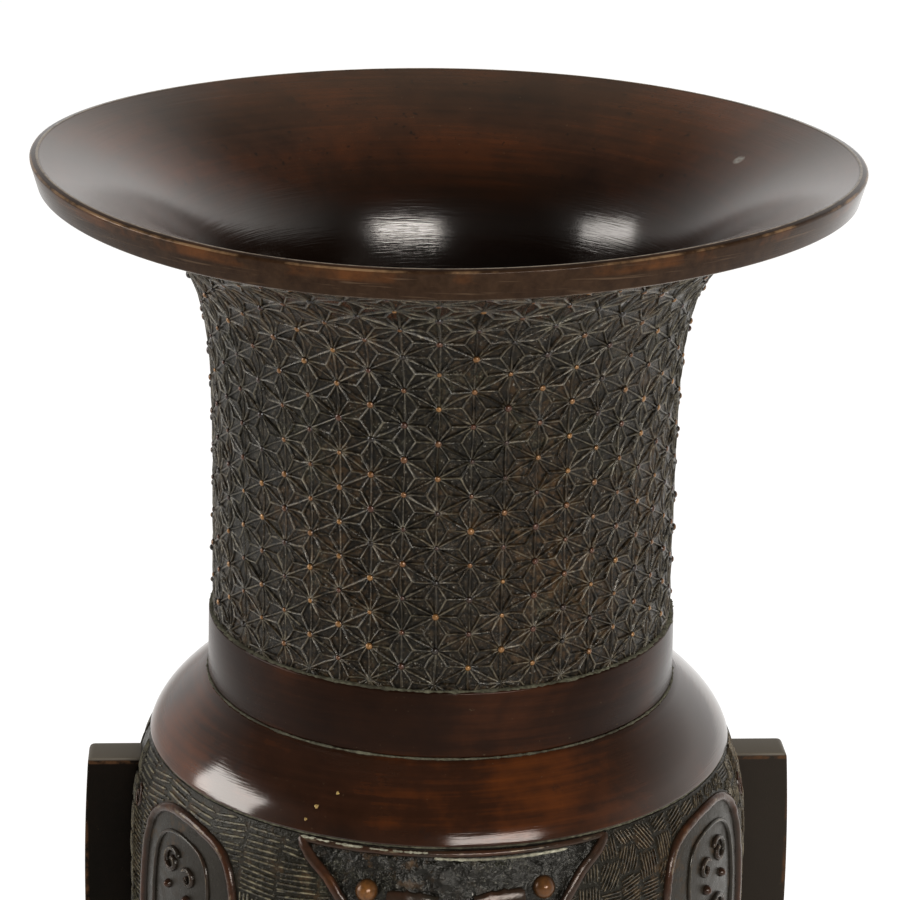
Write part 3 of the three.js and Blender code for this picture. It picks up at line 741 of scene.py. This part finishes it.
def bosses(name, skin, seed, node_name):
    """A worn boss on the middle of each star."""
    chance = random.Random(seed)
    vertices, faces, relief, tones = [], [], [], []
    around, rings = 10, 3
    for i in range(STAR_COLUMNS):
        for j in range(int(2 * skin.v[0]) - 2, int(2 * skin.v[-1]) + 3):
            v = j / 2
            if (i + j) % 2 or not skin.v[0] + 0.2 < v < skin.v[-1] - 0.15:
                continue
            size = BOSS_R * chance.uniform(0.72, 1.12)
            top, own, squat = chance.uniform(0.6, 1.0), chance.random(), chance.uniform(0.5, 0.95)
            swell = np.interp(v, skin.v, skin.r) / NECK_R
            column_mm, pitch_mm = 2 * math.pi * NECK_R / STAR_COLUMNS * swell, STAR_PITCH * swell
            faces += dome_faces(len(vertices), around, rings)
            for x, y, rise, share in dome_points(size, around, rings):
                vertices.append(skin.place(i + x / column_mm, v + y / pitch_mm, size * rise * squat - 0.15))
                relief.append(share * top)
                tones.append(own)
    o = add_object(name, np.array(vertices), faces, [bronze_boss], sharp=80)
    store(o.data, "relief", relief)
    store(o.data, "tone", tones)
    return dress(o, node_name)


bosses("neck_bosses", neck_skin, 11, "mouth_and_neck")


# ---------------------------------------------------------------- drum relief
DRUM_MM = DRUM_R * math.pi / 180.0      # millimetres round the drum for a degree


def drum_place(x, z, lift):
    """x is in millimetres round the drum from its front, towards +X."""
    x, z, lift = (np.asarray(a, float) for a in (x, z, lift))
    angle = np.radians(x / DRUM_MM)
    slope = (drum_r(z + 0.05) - drum_r(z - 0.05)) / 0.1
    r = drum_r(z) + lift / np.hypot(1, slope)
    height = z - lift * slope / np.hypot(1, slope)
    return np.stack([r * np.sin(angle), -r * np.cos(angle), height], -1)


def smooth(points, per=6, closed=False):
    """A Catmull-Rom curve through points of (degrees, height), in millimetres."""
    p = np.array(points, float) * (DRUM_MM, 1.0)
    p = np.vstack([p[-1], p, p[:2]]) if closed else np.vstack([2 * p[0] - p[1], p, 2 * p[-1] - p[-2]])
    out = []
    for a, b, c, d in zip(p, p[1:], p[2:], p[3:]):
        for t in np.arange(per) / per:
            out.append(0.5 * (2 * b + (c - a) * t + (2 * a - 5 * b + 4 * c - d) * t ** 2
                              + (3 * b - a - 3 * c + d) * t ** 3))
    if not closed:
        out.append(p[-2])
    return np.array(out)


def spiral(x, z, radius, turns, start, side=1, shrink=0.16):
    """A scroll that winds in from radius, as points of (degrees, height)."""
    t = np.linspace(0, 1, int(14 * turns) + 2)
    r = radius * (1 - t * (1 - shrink))
    angle = math.radians(start) + side * 2 * math.pi * turns * t
    return [(x + r_ * math.cos(a) / DRUM_MM, z + r_ * math.sin(a)) for r_, a in zip(r, angle)]


# Sections of (side, height, relief) across a bead, in shares of its width and height
BEAD = [(-0.5, -0.35, 0.0), (-0.46, 0.35, 0.25), (-0.3, 0.8, 0.7), (0.0, 1.0, 1.0), (0.3, 0.8, 0.8),
        (0.46, 0.35, 0.3), (0.5, -0.35, 0.0)]
PLATE = [(-0.5, -0.35, 0.1), (-0.47, 0.6, 0.5), (-0.36, 0.96, 0.85), (0.0, 1.0, 0.55), (0.36, 0.96, 0.85),
         (0.47, 0.6, 0.5), (0.5, -0.35, 0.1)]
RIB = [(-0.5, -0.6, 0.0), (-0.2, 0.85, 0.6), (0.12, 1.0, 1.0), (0.5, -0.6, 0.0)]


class Relief:
    """Gathers swept beads and domes on the drum into one mesh. marks keeps where they are, and half their widths."""

    def __init__(self, seed=1):
        self.points, self.faces, self.shade, self.tones, self.marks = [], [], [], [], []
        self.chance = random.Random(seed)

    def sweep(self, path, section, width, height, closed=False, ends=0.35, wobble=0.04, mark=True, tone=0.3):
        path = np.asarray(path, float)
        ahead = np.roll(path, -1, 0) - np.roll(path, 1, 0)
        if not closed:
            ahead[0], ahead[-1] = path[1] - path[0], path[-1] - path[-2]
        across = np.stack([-ahead[:, 1], ahead[:, 0]], -1)
        across /= np.maximum(np.linalg.norm(across, axis=1), 1e-9)[:, None]
        run = np.concatenate([[0], np.cumsum(np.linalg.norm(np.diff(path, axis=0), axis=1))])
        size = np.ones(len(path))
        if not closed and ends:
            reach = np.minimum(run, run[-1] - run) / max(width * 0.8, 1e-6)
            size = ends + (1 - ends) * np.sqrt(np.clip(reach, 0, 1))
        base, count = len(self.points), len(section)
        for p, q, g in zip(path, across, size):
            w = width * g * (1 + self.chance.uniform(-wobble, wobble) * 2)
            h = height * (0.4 + 0.6 * g) * (1 + self.chance.uniform(-wobble, wobble) * 2)
            for side, lift, shade in section:
                spot = p + q * side * w
                self.points.append((spot[0], spot[1], lift * h if lift > 0 else lift))
                self.shade.append(shade)
        self.faces += tube(base, len(path), count, closed, inward=True)
        if not closed:
            self.faces += [cap(base, count), cap(len(self.points) - count, count)[::-1]]
        self.tones += [tone] * (len(self.points) - base)
        if mark:
            self.marks.append((path, width / 2))

    def bead(self, points, width, height, section=BEAD, closed=False, per=6, **how):
        """A sweep along the curve through points of (degrees, height)."""
        self.sweep(smooth(points, per, closed), section, width, height, closed=closed, **how)

    def dome(self, degrees, z, radius, height, around=20, rings=5, tone=0.62):
        x = degrees * DRUM_MM
        base, sunk = len(self.points), 0.4
        for across, along, rise, share in dome_points(radius, around, rings):
            self.points.append((x + across, z + along, (height + sunk) * rise - sunk))
            self.shade.append(share)
        self.faces += dome_faces(base, around, rings)
        self.tones += [tone] * (len(self.points) - base)
        self.marks.append((np.array([[x, z]]), radius))

    def build(self, name, material, copies, sharp=50):
        """The mesh on the drum, once for each of copies, a list of (mirrored, behind)."""
        data = np.array(self.points, float)
        places, faces = [], []
        for mirrored, behind in copies:
            base = len(places) * len(data)
            x = -data[:, 0] if mirrored else data[:, 0]
            spots = drum_place(x, data[:, 1] + lean(x, data[:, 1]), data[:, 2])
            places.append(spots * (-1, -1, 1) if behind else spots)
            faces += [tuple(base + k for k in (reversed(f) if mirrored else f)) for f in self.faces]
        o = add_object(name, np.vstack(places), faces, [material], sharp=sharp)
        store(o.data, "relief", self.shade * len(copies))
        store(o.data, "tone", self.tones * len(copies))
        return dress(o, "drum")


# The combed ground ends short of the drum's edges
COMB_BOTTOM, COMB_TOP = 142.4, 254.6


def lean(x, z):
    """How much higher a motif sits than on the drawing: the right side rises a little, as on the cast vase."""
    fade = np.clip((DRUM_TOP - z) / 8.0, 0.0, 1.0) * np.clip((z - DRUM_BOTTOM) / 8.0, 0.0, 1.0)
    return 1.1 * np.sin(np.radians(np.asarray(x, float) / DRUM_MM)) * fade


# One half of the mask in (degrees from the front, height): mirrored for the other half, and again for the back
PANEL = [(0.0, 254.9), (29.6, 254.9), (26.8, 250.3), (23.2, 245.6), (20.3, 239.5), (17.6, 233.2), (14.6, 227.6),
         (0.0, 222.0)]
EAR = [(41.6, 218.0), (41.8, 229.7), (43.3, 239.0), (46.2, 244.6), (51.8, 247.6), (59.0, 248.7), (64.3, 247.4),
       (68.2, 242.9), (69.8, 235.5), (71.0, 222.9), (71.8, 208.0), (70.6, 198.4), (66.0, 193.6), (60.4, 194.6),
       (56.6, 199.6)]
EAR_FIELD = [(48.6, 219.0), (48.4, 231.5), (50.6, 239.6), (56.5, 242.6), (62.0, 241.4), (65.0, 235.5), (66.2, 222.4),
             (66.3, 210.0), (64.2, 203.2)]
BROW = [(17.0, 226.5), (23.0, 229.6), (30.0, 229.4), (36.0, 225.4), (39.2, 218.2), (38.6, 211.4)]
EYE = [(19.4, 203.8), (23.4, 211.8), (29.2, 215.6), (35.2, 213.4), (39.6, 206.4), (36.4, 201.4), (30.4, 198.6),
       (23.8, 199.0)]
NOSE = [(12.6, 222.6), (8.6, 214.0), (7.2, 202.0), (7.6, 190.0), (9.8, 180.6), (14.4, 176.0), (17.4, 171.4),
        (15.6, 166.6), (11.2, 166.4), (9.4, 170.0), (11.6, 172.6)]
LIP = [(0.0, 160.6), (8.0, 161.0), (18.0, 159.6), (28.0, 160.6), (36.4, 165.4), (40.6, 173.0), (38.4, 180.6),
       (32.6, 181.6), (30.2, 177.2), (33.2, 174.0)]
JAW = [(0.0, 149.4), (12.0, 149.0), (24.0, 150.0), (36.0, 152.0), (45.6, 157.6), (49.4, 166.0), (47.4, 174.6)]
CHEEK = [(52.0, 187.0), (47.4, 193.0), (49.6, 183.4), (55.4, 176.0), (62.6, 173.0), (69.0, 168.0), (72.0, 159.6),
         (69.0, 151.6), (61.6, 149.6), (56.4, 153.6), (57.2, 160.0), (62.0, 161.6)]


def inside(polygon, x, z):
    """Which of the points (x, z) lie in the polygon."""
    polygon = np.asarray(polygon)
    hit = np.zeros(np.shape(x), bool)
    for (x0, z0), (x1, z1) in zip(polygon, np.roll(polygon, -1, 0)):
        crosses = (z0 > z) != (z1 > z)
        with np.errstate(divide="ignore", invalid="ignore"):
            hit ^= crosses & (x < (x1 - x0) * (z - z0) / (z1 - z0) + x0)
    return hit


def in_mm(points):
    return np.array(points, float) * (DRUM_MM, 1.0)


ear_outline = np.vstack([smooth(EAR), in_mm([(50.0, 206.0), (45.0, 211.0)])])
eye_outline = smooth(EYE, closed=True)
panel_outline = in_mm(PANEL)
ear_field = np.vstack([smooth(EAR_FIELD), in_mm([(58.0, 205.0), (52.0, 211.0)])])


def mask_half():
    relief = Relief(3)
    relief.bead([(29.6, 254.7), *PANEL[2:7], (12.6, 222.6)], 3.0, 1.1, PLATE, tone=0.26)
    relief.bead([(0.0, 254.2), (10.0, 254.2), (20.0, 254.3), (29.0, 254.5)], 1.9, 0.9, ends=0, tone=0.2)
    relief.bead(NOSE, 2.5, 1.9)
    relief.bead([(3.2, 239.2), (8.0, 239.8), (12.2, 240.4)], 8.2, 1.5, PLATE, ends=0.8, tone=0.14)
    relief.bead([(3.6, 233.0), (3.0, 220.0), (2.6, 204.0), (2.9, 188.0), (3.6, 177.0)], 3.2, 1.5)
    relief.dome(15.8, 243.2, 3.5, 3.2, tone=0.66)
    relief.bead(EAR, 3.1, 1.6, tone=0.3)
    relief.bead(EAR_FIELD, 1.3, 0.8, tone=0.1)
    relief.bead(spiral(59.6, 233.2, 4.6, 1.3, 150, -1), 1.7, 1.0, tone=0.14)
    relief.bead(spiral(54.2, 230.4, 3.4, 1.1, 30, 1), 1.5, 0.9, tone=0.14)
    relief.bead(spiral(58.4, 214.2, 5.6, 1.6, -60, 1), 1.8, 1.0, tone=0.14)
    relief.dome(60.6, 225.0, 1.5, 1.6, around=12, rings=4, tone=0.3)
    relief.dome(54.4, 223.4, 1.7, 1.8, around=12, rings=4, tone=0.3)
    relief.bead(BROW, 3.6, 2.0)
    relief.bead(EYE, 2.2, 1.7, closed=True)
    relief.dome(29.4, 206.6, 5.4, 4.2, around=28, rings=6)
    relief.bead(LIP, 2.8, 1.9)
    relief.bead(JAW, 2.2, 1.4)
    relief.bead(CHEEK, 2.6, 1.7)
    for x, low in ((13.0, 152.4), (24.0, 153.2)):
        relief.bead([(x - 1.6, 159.4), (x - 0.2, 155.6), (x, low)], 3.4, 1.4, PLATE, ends=0.15)
    relief.bead(spiral(79.0, 241.0, 4.2, 1.2, 90, 1), 1.3, 0.8)
    relief.bead(spiral(79.0, 156.0, 4.2, 1.2, -90, -1), 1.3, 0.8)
    return relief


def comb_side(marks, seed, leans, pitch, wide, tall):
    """Combed ground on one half: blocks of short ribs, kept clear of the motifs."""
    chance = random.Random(seed)
    relief = Relief(seed)
    spots = np.vstack([path for path, _ in marks])
    reach = np.concatenate([np.full(len(path), half + 0.35) for path, half in marks])
    limit = 90.0 * DRUM_MM - FLANGE_HALF - 0.6
    steps = np.arange(-wide, wide + 0.1, 1.0)
    for i in range(int(limit // wide) + 1):
        for j in range(int(2 * DRUM_HALF // tall) + 2):
            middle = np.array([(i + 0.5) * wide, COMB_TOP + 0.3 - (j + 0.5 - (0.4 if i % 2 else 0)) * tall])
            turn = math.radians(chance.choice(leans) + chance.uniform(-5, 5))
            if middle[0] > limit - wide:
                turn = math.radians(90 + chance.uniform(-2, 2))
            way = np.array([math.cos(turn), math.sin(turn)])
            side = np.array([-way[1], way[0]])
            for k in np.arange(-wide, wide, pitch):
                bend = chance.uniform(-0.2, 0.2)
                track = middle + side * (k + bend * np.sin(steps / 5.0)[:, None]) + steps[:, None] * way
                jog = chance.uniform(-0.5, 0.2)
                keep = np.abs(track[:, 0] - middle[0]) < wide / 2 + jog
                keep &= np.abs(track[:, 1] - middle[1]) < tall / 2 - 0.1
                keep &= (track[:, 0] > 0.2) & (track[:, 0] < limit)
                keep &= (track[:, 1] < COMB_TOP) & (track[:, 1] > COMB_BOTTOM)
                for shape in (panel_outline, ear_outline, eye_outline):
                    keep &= ~inside(shape, track[:, 0], track[:, 1])
                if keep.any():
                    across, along = (track[:, None, n] - spots[None, :, n] for n in (0, 1))
                    keep &= (np.hypot(across, along) - reach).min(1) > 0
                run = []
                for point, good in zip([*track, None], [*keep, False]):
                    if good:
                        run.append(point)
                        continue
                    if len(run) > 2:
                        relief.sweep(run[::2] if len(run) % 2 else [*run[::2], run[-1]], RIB, pitch * 0.86,
                                     0.5 * chance.uniform(0.8, 1.15), ends=0.5, wobble=0.07, mark=False)
                    run = []
    return relief


mask = mask_half()
mask.build("drum_mask", bronze_mask, [(False, False), (True, False), (False, True), (True, True)])
comb_right = comb_side(mask.marks, 21, (90, 60, -60, 20, 90, 0), 1.1, 7.6, 8.6)
comb_left = comb_side(mask.marks, 22, (0, 3, -6, 0, 85), 1.6, 14.0, 10.0)
comb_right.build("drum_combing_right", bronze_hatch, [(False, False), (False, True)], sharp=25)
comb_left.build("drum_combing_left", bronze_comb, [(True, False), (True, True)], sharp=25)

# Pale crust along the mask's upper edge, partly a painted glint
crust_and_glint = Relief(5)
crust_and_glint.bead([(-29.4, 254.9), (-20.0, 254.7), (-10.0, 254.5), (-4.0, 254.4)], 0.8, 1.0, per=16, wobble=0.16)
crust_and_glint.bead([(-4.0, 253.1), (2.0, 252.7), (10.0, 252.6), (21.0, 252.9)], 0.8, 0.7, per=16, wobble=0.16)
crust_and_glint.build("drum_crust_and_glint", bloom_and_glint, [(False, False), (False, True)], sharp=60)


def drum_casting():
    segments = 640
    wall_r, register_r = DRUM_END_R - BODY_WALL, DRUM_END_R - BODY_WALL / 2 - SOLDER
    foot, head = DRUM_BOTTOM - REGISTER, DRUM_TOP + REGISTER
    barrel_z = DRUM_MIDDLE + DRUM_HALF * np.sin(np.linspace(-1, 1, 97) * math.pi / 2)
    inside_z = DRUM_MIDDLE + DRUM_HALF * np.sin(np.linspace(1, -1, 13) * math.pi / 2)
    profile = [
        (register_r, foot), (register_r, DRUM_BOTTOM), *[(drum_r(z), z) for z in barrel_z],
        (register_r, DRUM_TOP), (register_r, head), (wall_r, head),
        *[(drum_r(z) - BODY_WALL, z) for z in inside_z], (wall_r, foot),
    ]
    points = turned(profile, segments).reshape(len(profile), segments, 3)
    first, last = 2, 2 + len(barrel_z)
    angle = np.degrees(np.arctan2(points[first:last, :, 0], -points[first:last, :, 1]))
    right, back = np.sign(angle), np.abs(angle) > 90
    angle = np.where(back, np.abs(angle) - 180, np.abs(angle))
    x = np.abs(angle) * DRUM_MM
    z = points[first:last, :, 2] - lean(np.where(back, -right, right) * x, points[first:last, :, 2])
    fields = inside(panel_outline, x, z) * -0.55 + inside(ear_field, x, z) * -0.3
    points[first:last, :, :2] *= (1 + fields / DRUM_R)[..., None]
    # Materials: 0 inside, 1 combed ground, 2 panel, 3 ear and eye, 4 the ends, painted dark as shade under the
    # shoulders
    shades = np.zeros((len(profile), segments), int)
    barrel = shades[first:last]
    barrel[:] = 1
    barrel[inside(panel_outline, x, z)] = 2
    barrel[inside(ear_outline, x, z) | inside(eye_outline, x, z)] = 3
    # Within a millimetre of each end the drum is painted near black: painted shade under the shoulder's overhang.
    barrel[np.abs(points[first:last, :, 2] - DRUM_MIDDLE) > DRUM_HALF - 1.0] = 4
    return points.reshape(-1, 3), tube(0, len(profile), segments, closed=True), shades.ravel()


points, faces, shades = drum_casting()
dress(add_object("drum_casting", points, faces, [bronze_body, bronze_drum, bronze_pitted, bronze_smooth, bronze_painted_shade],
                 shades, sharp=50), "drum")


# ---------------------------------------------------------------- shoulders
def shoulder_profile(over):
    """The upper shoulder, or the lower one with over at -1."""
    outside = shoulder(16)
    hollow = shoulder(8, DRUM_END_R - BODY_WALL, 4.3, SOCKET_R, 11.0)
    wall_r, rebate_r = DRUM_END_R - BODY_WALL, DRUM_END_R - BODY_WALL / 2
    rebate = REGISTER + SOLDER
    corners = [
        (rebate_r, SOLDER), (SHOULDER_R, SOLDER), *outside[1:], (SOCKET_R, BODY_TOP - DRUM_TOP), *hollow[:0:-1],
        (wall_r, rebate), (rebate_r, rebate),
    ]
    profile = rounded(corners, {1: 0.6})
    if over > 0:
        return [(r, DRUM_TOP + h) for r, h in profile]
    return [(r, DRUM_BOTTOM - h) for r, h in reversed(profile)]


for name, over in (("upper_shoulder", 1), ("lower_shoulder", -1)):
    dress(lathe(name + "_casting", shoulder_profile(over), bronze_shoulder), name)


def specks():
    """Three gold specks on the shoulder, left of the front, each as (degrees, radius, height, size)."""
    vertices, faces = [], []
    for degrees, r, z, size in ((-24.0, 84.1, 267.2, 0.55), (-27.5, 87.6, 263.4, 0.7), (-29.0, 90.0, 259.8, 0.5)):
        turn = math.radians(degrees)
        out = Vector((math.sin(turn), -math.cos(turn), 0.0))
        up = (out * 0.7 + Vector((0.0, 0.0, 0.7))).normalized()
        side = up.cross(out).normalized()
        slope = side.cross(up)
        middle = out * r + Vector((0.0, 0.0, z))
        base = len(vertices)
        for k in range(3):
            tilt = math.radians(30 * k - 15)
            for a in range(8):
                around = math.radians(45 * a)
                reach = size * math.cos(tilt) * (1.0 + 0.25 * math.sin(3 * around + degrees))
                spot = (side * math.cos(around) + slope * math.sin(around)) * reach
                vertices.append(tuple(middle + spot + up * size * 0.6 * math.sin(tilt)))
        faces += [*tube(base, 3, 8), cap(base + 16, 8), cap(base, 8)[::-1]]
    o = add_object("shoulder_specks", np.array(vertices), faces, [gold_speck], sharp=60)
    dress(o, "upper_shoulder")


specks()


# ---------------------------------------------------------------- flanges
def flange(side):
    heights = np.linspace(-FLANGE_RISE, FLANGE_RISE, 25)
    outer = [(FLANGE_R - 1.8 * (h / FLANGE_RISE) ** 2, h) for h in heights]
    inner = [(float(drum_r(DRUM_MIDDLE + h)) - 0.8, h) for h in heights[::-1]]
    outline = rounded(outer + inner, {0: 3.0, len(outer) - 1: 3.0}, 5)
    bm = bmesh.new()
    ring = [bm.verts.new((x * MM, -FLANGE_HALF * MM, (DRUM_MIDDLE + z) * MM)) for x, z in outline]
    face = bm.faces.new(ring)
    made = bmesh.ops.extrude_face_region(bm, geom=[face])
    moved = [v for v in made["geom"] if isinstance(v, bmesh.types.BMVert)]
    bmesh.ops.translate(bm, verts=moved, vec=(0, 2 * FLANGE_HALF * MM, 0))
    bmesh.ops.recalc_face_normals(bm, faces=bm.faces)
    rims = [e for e in bm.edges if abs(e.verts[0].co.y - e.verts[1].co.y) < 1e-6]
    bmesh.ops.bevel(bm, geom=rims, offset=0.9 * MM, segments=3, profile=0.6, affect="EDGES")
    for v in bm.verts:
        v.co.x *= side
    if side < 0:
        bmesh.ops.reverse_faces(bm, faces=bm.faces)
    mesh = bpy.data.meshes.new("flange")
    bm.to_mesh(mesh)
    bm.free()
    mesh.materials.append(bronze_flange)
    name = "flange_right" if side > 0 else "flange_left"
    return dress(placed(name + "_plate", mesh, 50), name)


flange(1)
flange(-1)


# ---------------------------------------------------------------- verdigris in the joints
def seam_ring(base, radius, z, out, up, seed):
    """A ragged ring of grime, out wide and up high, both halves of its girth. Its points are counted from base."""
    chance = np.random.default_rng(seed)
    count, around = 480, 6
    turns = np.arange(count) / count * 2 * math.pi
    waves = sum(np.sin(turns * chance.integers(4, 60) + chance.uniform(0, 6)) for _ in range(6)) / 6
    swell = np.clip(0.95 + 0.45 * waves + 0.22 * chance.standard_normal(count), 0.45, 1.6)
    points = []
    for angle, grown in zip(turns, swell):
        for tilt in np.arange(around) / around * 2 * math.pi:
            r = radius + out * grown * math.cos(tilt)
            points.append((r * math.sin(angle), -r * math.cos(angle), z + up * grown * math.sin(tilt)))
    return points, tube(base, count, around, closed=True, inward=True)


def seams(name, node_name, rings):
    points, faces = [], []
    for ring in rings:
        more, sides = seam_ring(len(points), *ring)
        points += more
        faces += sides
    return dress(add_object(name, points, faces, [verdigris], sharp=60), node_name)


seams("upper_grime", "upper_shoulder", [
    (COLLAR_R + 0.1, BODY_TOP + 0.1, 0.5, 0.36, 1), (DRUM_END_R + 0.05, DRUM_TOP - 0.2, 0.4, 0.35, 2)])
seams("lower_grime", "lower_shoulder", [
    (COLLAR_R + 0.1, BODY_BOTTOM - 0.1, 0.5, 0.36, 4), (DRUM_END_R + 0.05, DRUM_BOTTOM + 0.2, 0.4, 0.35, 5)])
seams("neck_grime", "mouth_and_neck", [(NECK_R + 0.35, NECK_BOTTOM + 0.05, 1.1, 0.42, 3)])
seams("foot_grime", "foot", [(NECK_R + 0.35, FOOT_FLARE_TOP - 0.05, 1.1, 0.42, 6)])


# ---------------------------------------------------------------- foot
def foot_profile():
    zs = FOOT_BAND_TOP + (FOOT_FLARE_TOP - FOOT_BAND_TOP) * np.linspace(0, 1, 30)
    skin = [(foot_r(z) - DIAPER_DEPTH, z) for z in zs]
    inside = [(THROAT_R + 15.4 * math.exp(-(z - FOOT_BAND_TOP) / FOOT_FLARE), z)
              for z in np.linspace(FOOT_SPIGOT_TOP, FOOT_BAND_TOP, 30)]
    corners = [
        (FOOT_RING_R, 0.0), (FOOT_R, 0.0), (FOOT_R - 1.0, FOOT_BAND_TOP), *skin,
        (COLLAR_R - 0.25, FOOT_FLARE_TOP), (COLLAR_R + 0.1, BODY_BOTTOM - SOLDER), (SPIGOT_R, BODY_BOTTOM - SOLDER),
        (SPIGOT_R, FOOT_SPIGOT_TOP), *inside, (FOOT_RING_R, FOOT_BAND_TOP),
    ]
    top = 3 + len(skin)
    return rounded(corners, {1: 0.8, 2: 0.7, top: 0.6, top + 1: 0.7})


dress(lathe("foot_casting", foot_profile(), bronze_body), "foot")
foot_skin = Skin(foot_r, FOOT_BAND_TOP + 0.05, FOOT_FLARE_TOP + 0.3, 60.0)
diaper("foot_diaper", foot_skin, 8, "foot")
bosses("foot_bosses", foot_skin, 12, "foot")

# ---------------------------------------------------------------- CAD nodes that stay
for name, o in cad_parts.items():
    if name.startswith("rivet") or name == "base_plate":
        for s in o.material_slots:
            s.material = bronze_plain


# ---------------------------------------------------------------- stage and light
WHITE = (1.0, 1.0, 1.0, 1.0)


def in_mirrors(rays):
    return maths("MAXIMUM", rays.outputs["Is Glossy Ray"], rays.outputs["Is Transmission Ray"])


def stage():
    made, where = blank("floor_white")
    tree = made.node_tree
    rays = node(tree, "LightPath")
    mirrored = times(in_mirrors(rays), level(axis(where, "Y"), -0.5, 0.1, 0.3, 1.0))
    mirrored = times(mirrored, level(axis(where, "X"), -0.8, 0.8, 0.42, 1.5))
    seen = maths("MAXIMUM", rays.outputs["Is Camera Ray"], mirrored)
    paint = node(tree, "BsdfDiffuse", {"Color": (0.55, 0.55, 0.55, 1.0)})
    glow = node(tree, "Emission", {"Color": WHITE, "Strength": times(seen, 0.72)})
    shown(node(tree, "AddShader", {0: paint.outputs[0], 1: glow.outputs[0]}))
    reach = 8000.0      # millimetres
    corners = [(-reach, -reach, 0), (reach, -reach, 0), (reach, reach, 0), (-reach, reach, 0)]
    floor = add_object("floor", corners, [(0, 1, 2, 3)], [made])


def sky():
    """White for the camera. Mirrors see a white sweep behind the vase and a dim room before it, and +X is lighter."""
    world = bpy.data.worlds.new("studio")
    world.use_nodes = True
    bpy.context.scene.world = world
    tree = world.node_tree
    tree.nodes.clear()
    rays = node(tree, "LightPath")
    way = node(tree, "TexCoord").outputs["Generated"]
    wall = ramp(axis(way, "Z"), [(0.26, (1.0, 1.0, 1.0)), (0.7, (0.07, 0.07, 0.07))])
    room = times(level(axis(way, "Y"), -0.55, 0.3, 0.1, 1.0), level(axis(way, "X"), -1.0, 1.0, 0.5, 1.25))
    mirrored = node(tree, "Background", {"Color": wall, "Strength": room})
    side = level(axis(way, "X"), -0.7, 0.9, 0.16, 1.0)
    fill = node(tree, "Background", {"Color": (1.0, 0.965, 0.915, 1.0), "Strength": side})
    white = node(tree, "Background", {"Color": WHITE, "Strength": 1.0})
    both = node(tree, "MixShader", {0: in_mirrors(rays), 1: fill.outputs[0], 2: mirrored.outputs[0]})
    both = node(tree, "MixShader", {0: rays.outputs["Is Camera Ray"], 1: both.outputs[0], 2: white.outputs[0]})
    shown(both, "OutputWorld")


def softbox(name, azimuth, elevation, width, height, power):
    """A square lamp that faces the neck. azimuth is from the photo's camera towards its right, in degrees."""
    aim, distance = Vector((0.0, 0.0, 0.33)), 1.6
    turn, rise = math.radians(azimuth - CAMERA_TURN), math.radians(elevation)
    way = Vector((math.sin(turn) * math.cos(rise), -math.cos(turn) * math.cos(rise), math.sin(rise)))
    data = bpy.data.lights.new(name, "AREA")
    data.shape = "RECTANGLE"
    data.size = width
    data.size_y = height
    data.energy = power
    lamp = bpy.data.objects.new(name, data)
    lamp.location = aim + way * distance
    lamp.rotation_euler = (-way).to_track_quat("-Z", "Y").to_euler()
    bpy.context.scene.collection.objects.link(lamp)


stage()
sky()
softbox("softbox_front", 21.5, 16.4, 0.9, 0.34, 18.5)
softbox("softbox_left", -88, 13.5, 0.85, 0.8, 15)
